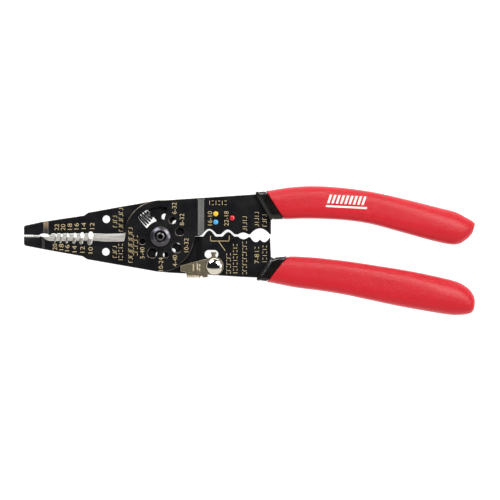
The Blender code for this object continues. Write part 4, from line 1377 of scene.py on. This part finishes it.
def build_world():
    """Pale walls all round and in front, and a dark ceiling that the flat plates look up at."""
    world = bpy.data.worlds.new("studio")
    bpy.context.scene.world = world
    world.use_nodes = True
    tree = world.node_tree
    place = tree.nodes.new("ShaderNodeTexCoord")
    parts = tree.nodes.new("ShaderNodeSeparateXYZ")
    tree.links.new(place.outputs["Generated"], parts.inputs[0])
    shares = []
    for axis, (start, end) in ((1, CEILING_FRONT), (2, CEILING_HEIGHT)):
        share = tree.nodes.new("ShaderNodeMapRange")
        share.interpolation_type = "SMOOTHSTEP"
        share.inputs["From Min"].default_value = start
        share.inputs["From Max"].default_value = end
        tree.links.new(parts.outputs[axis], share.inputs["Value"])
        shares.append(share.outputs[0])
    both = tree.nodes.new("ShaderNodeMath")
    both.operation = "MULTIPLY"
    mix = tree.nodes.new("ShaderNodeMix")
    mix.data_type = "RGBA"
    mix.inputs[6].default_value = (*WALL_COLOUR, 1.0)
    mix.inputs[7].default_value = (*CEILING_COLOUR, 1.0)
    for share, socket in zip(shares, both.inputs):
        tree.links.new(share, socket)
    tree.links.new(both.outputs[0], mix.inputs[0])
    tree.links.new(mix.outputs[2], tree.nodes["Background"].inputs[0])


def softbox(name, bearing, lean, size, radiance, colour):
    """An area light aimed at the tool; lean is its angle from straight overhead."""
    lamp = bpy.data.lights.new(name, "AREA")
    lamp.shape = "RECTANGLE"
    lamp.size, lamp.size_y = size
    lamp.energy = radiance * math.pi * size[0] * size[1]
    lamp.color = colour
    light = bpy.data.objects.new(name, lamp)
    bpy.context.scene.collection.objects.link(light)
    x, y = polar(math.sin(math.radians(lean)), bearing)
    away = Vector((x, y, math.cos(math.radians(lean))))
    light.location = away * LIGHT_DISTANCE
    light.rotation_mode = "QUATERNION"
    light.rotation_quaternion = away.to_track_quat("Z", "Y")
    light.visible_camera = False


def build_lights():
    softbox("window_left", 122, 36, (0.38, 0.36), 9.5, (0.97, 0.99, 1.0))
    softbox("window_right", 42, 30, (0.34, 0.38), 13.0, (1.0, 0.97, 0.92))
    softbox("side_right", 2, 44, (0.30, 0.30), 6.6, (1.0, 0.98, 0.95))
    softbox("strip_back", 90, 70, (1.2, 0.25), 3.0, (1.0, 0.95, 0.86))


def build_camera():
    """Straight above the middle of the tool, through a long lens."""
    low, high = CAD_BOX
    centre = (low + high) / 2
    data = bpy.data.cameras.new("camera")
    camera = bpy.data.objects.new("camera", data)
    bpy.context.scene.collection.objects.link(camera)
    data.lens = data.sensor_width * CAMERA_DISTANCE / (FRAME_MARGIN * (high.x - low.x))
    camera.location = centre + Vector((*CAMERA_OFFSET, CAMERA_DISTANCE))
    bpy.context.scene.camera = camera


def main():
    # the notches' steel is a darker copy of the ground steel: painted shade in the notches
    steels = black_oxide(), ground_steel("ground_steel", 1.0), ground_steel("notch_steel_shaded", 0.72)
    chrome, plating = polished_steel(), latch_plating()
    black, red = gloss_black(), red_vinyl()
    ink = print_ink("tan_ink", (0.50, 0.40, 0.22), (0.30, 0.24, 0.14))
    white = print_ink("white_ink", (0.88, 0.87, 0.86), (0.80, 0.62, 0.62))
    build_front_plate(steels)
    build_rear_plate(steels)
    build_barrel(turned_steel("pivot_barrel_steel", (0.095, 0.09, 0.108), 0.25, BARREL_SHADE))
    build_screw(turned_steel("pivot_screw_steel", (0.14, 0.14, 0.145), 0.24, SCREW_SHADE))
    build_washers(turned_steel("washer_steel", (0.12, 0.12, 0.125), 0.3, PIVOT_WASHER_SHADE), chrome)
    build_rivet(chrome)
    build_lever(plating)
    build_lever_marks(raised_brass())
    build_spring(drawn_wire())
    build_sleeve("upper", UPPER_GRIP, front_outline(), "front", black)
    build_sleeve("lower", LOWER_GRIP, rear_outline(), "rear", black)
    cover = build_cover("upper", UPPER_GRIP, "front", red)
    build_cover("lower", LOWER_GRIP, "rear", red)
    build_front_marks(ink)
    build_rear_marks(ink)
    build_dots()
    build_grip_mark(cover, white)
    build_floor()
    build_world()
    build_lights()
    build_camera()
    bpy.context.scene.view_settings.view_transform = "Standard"


main()
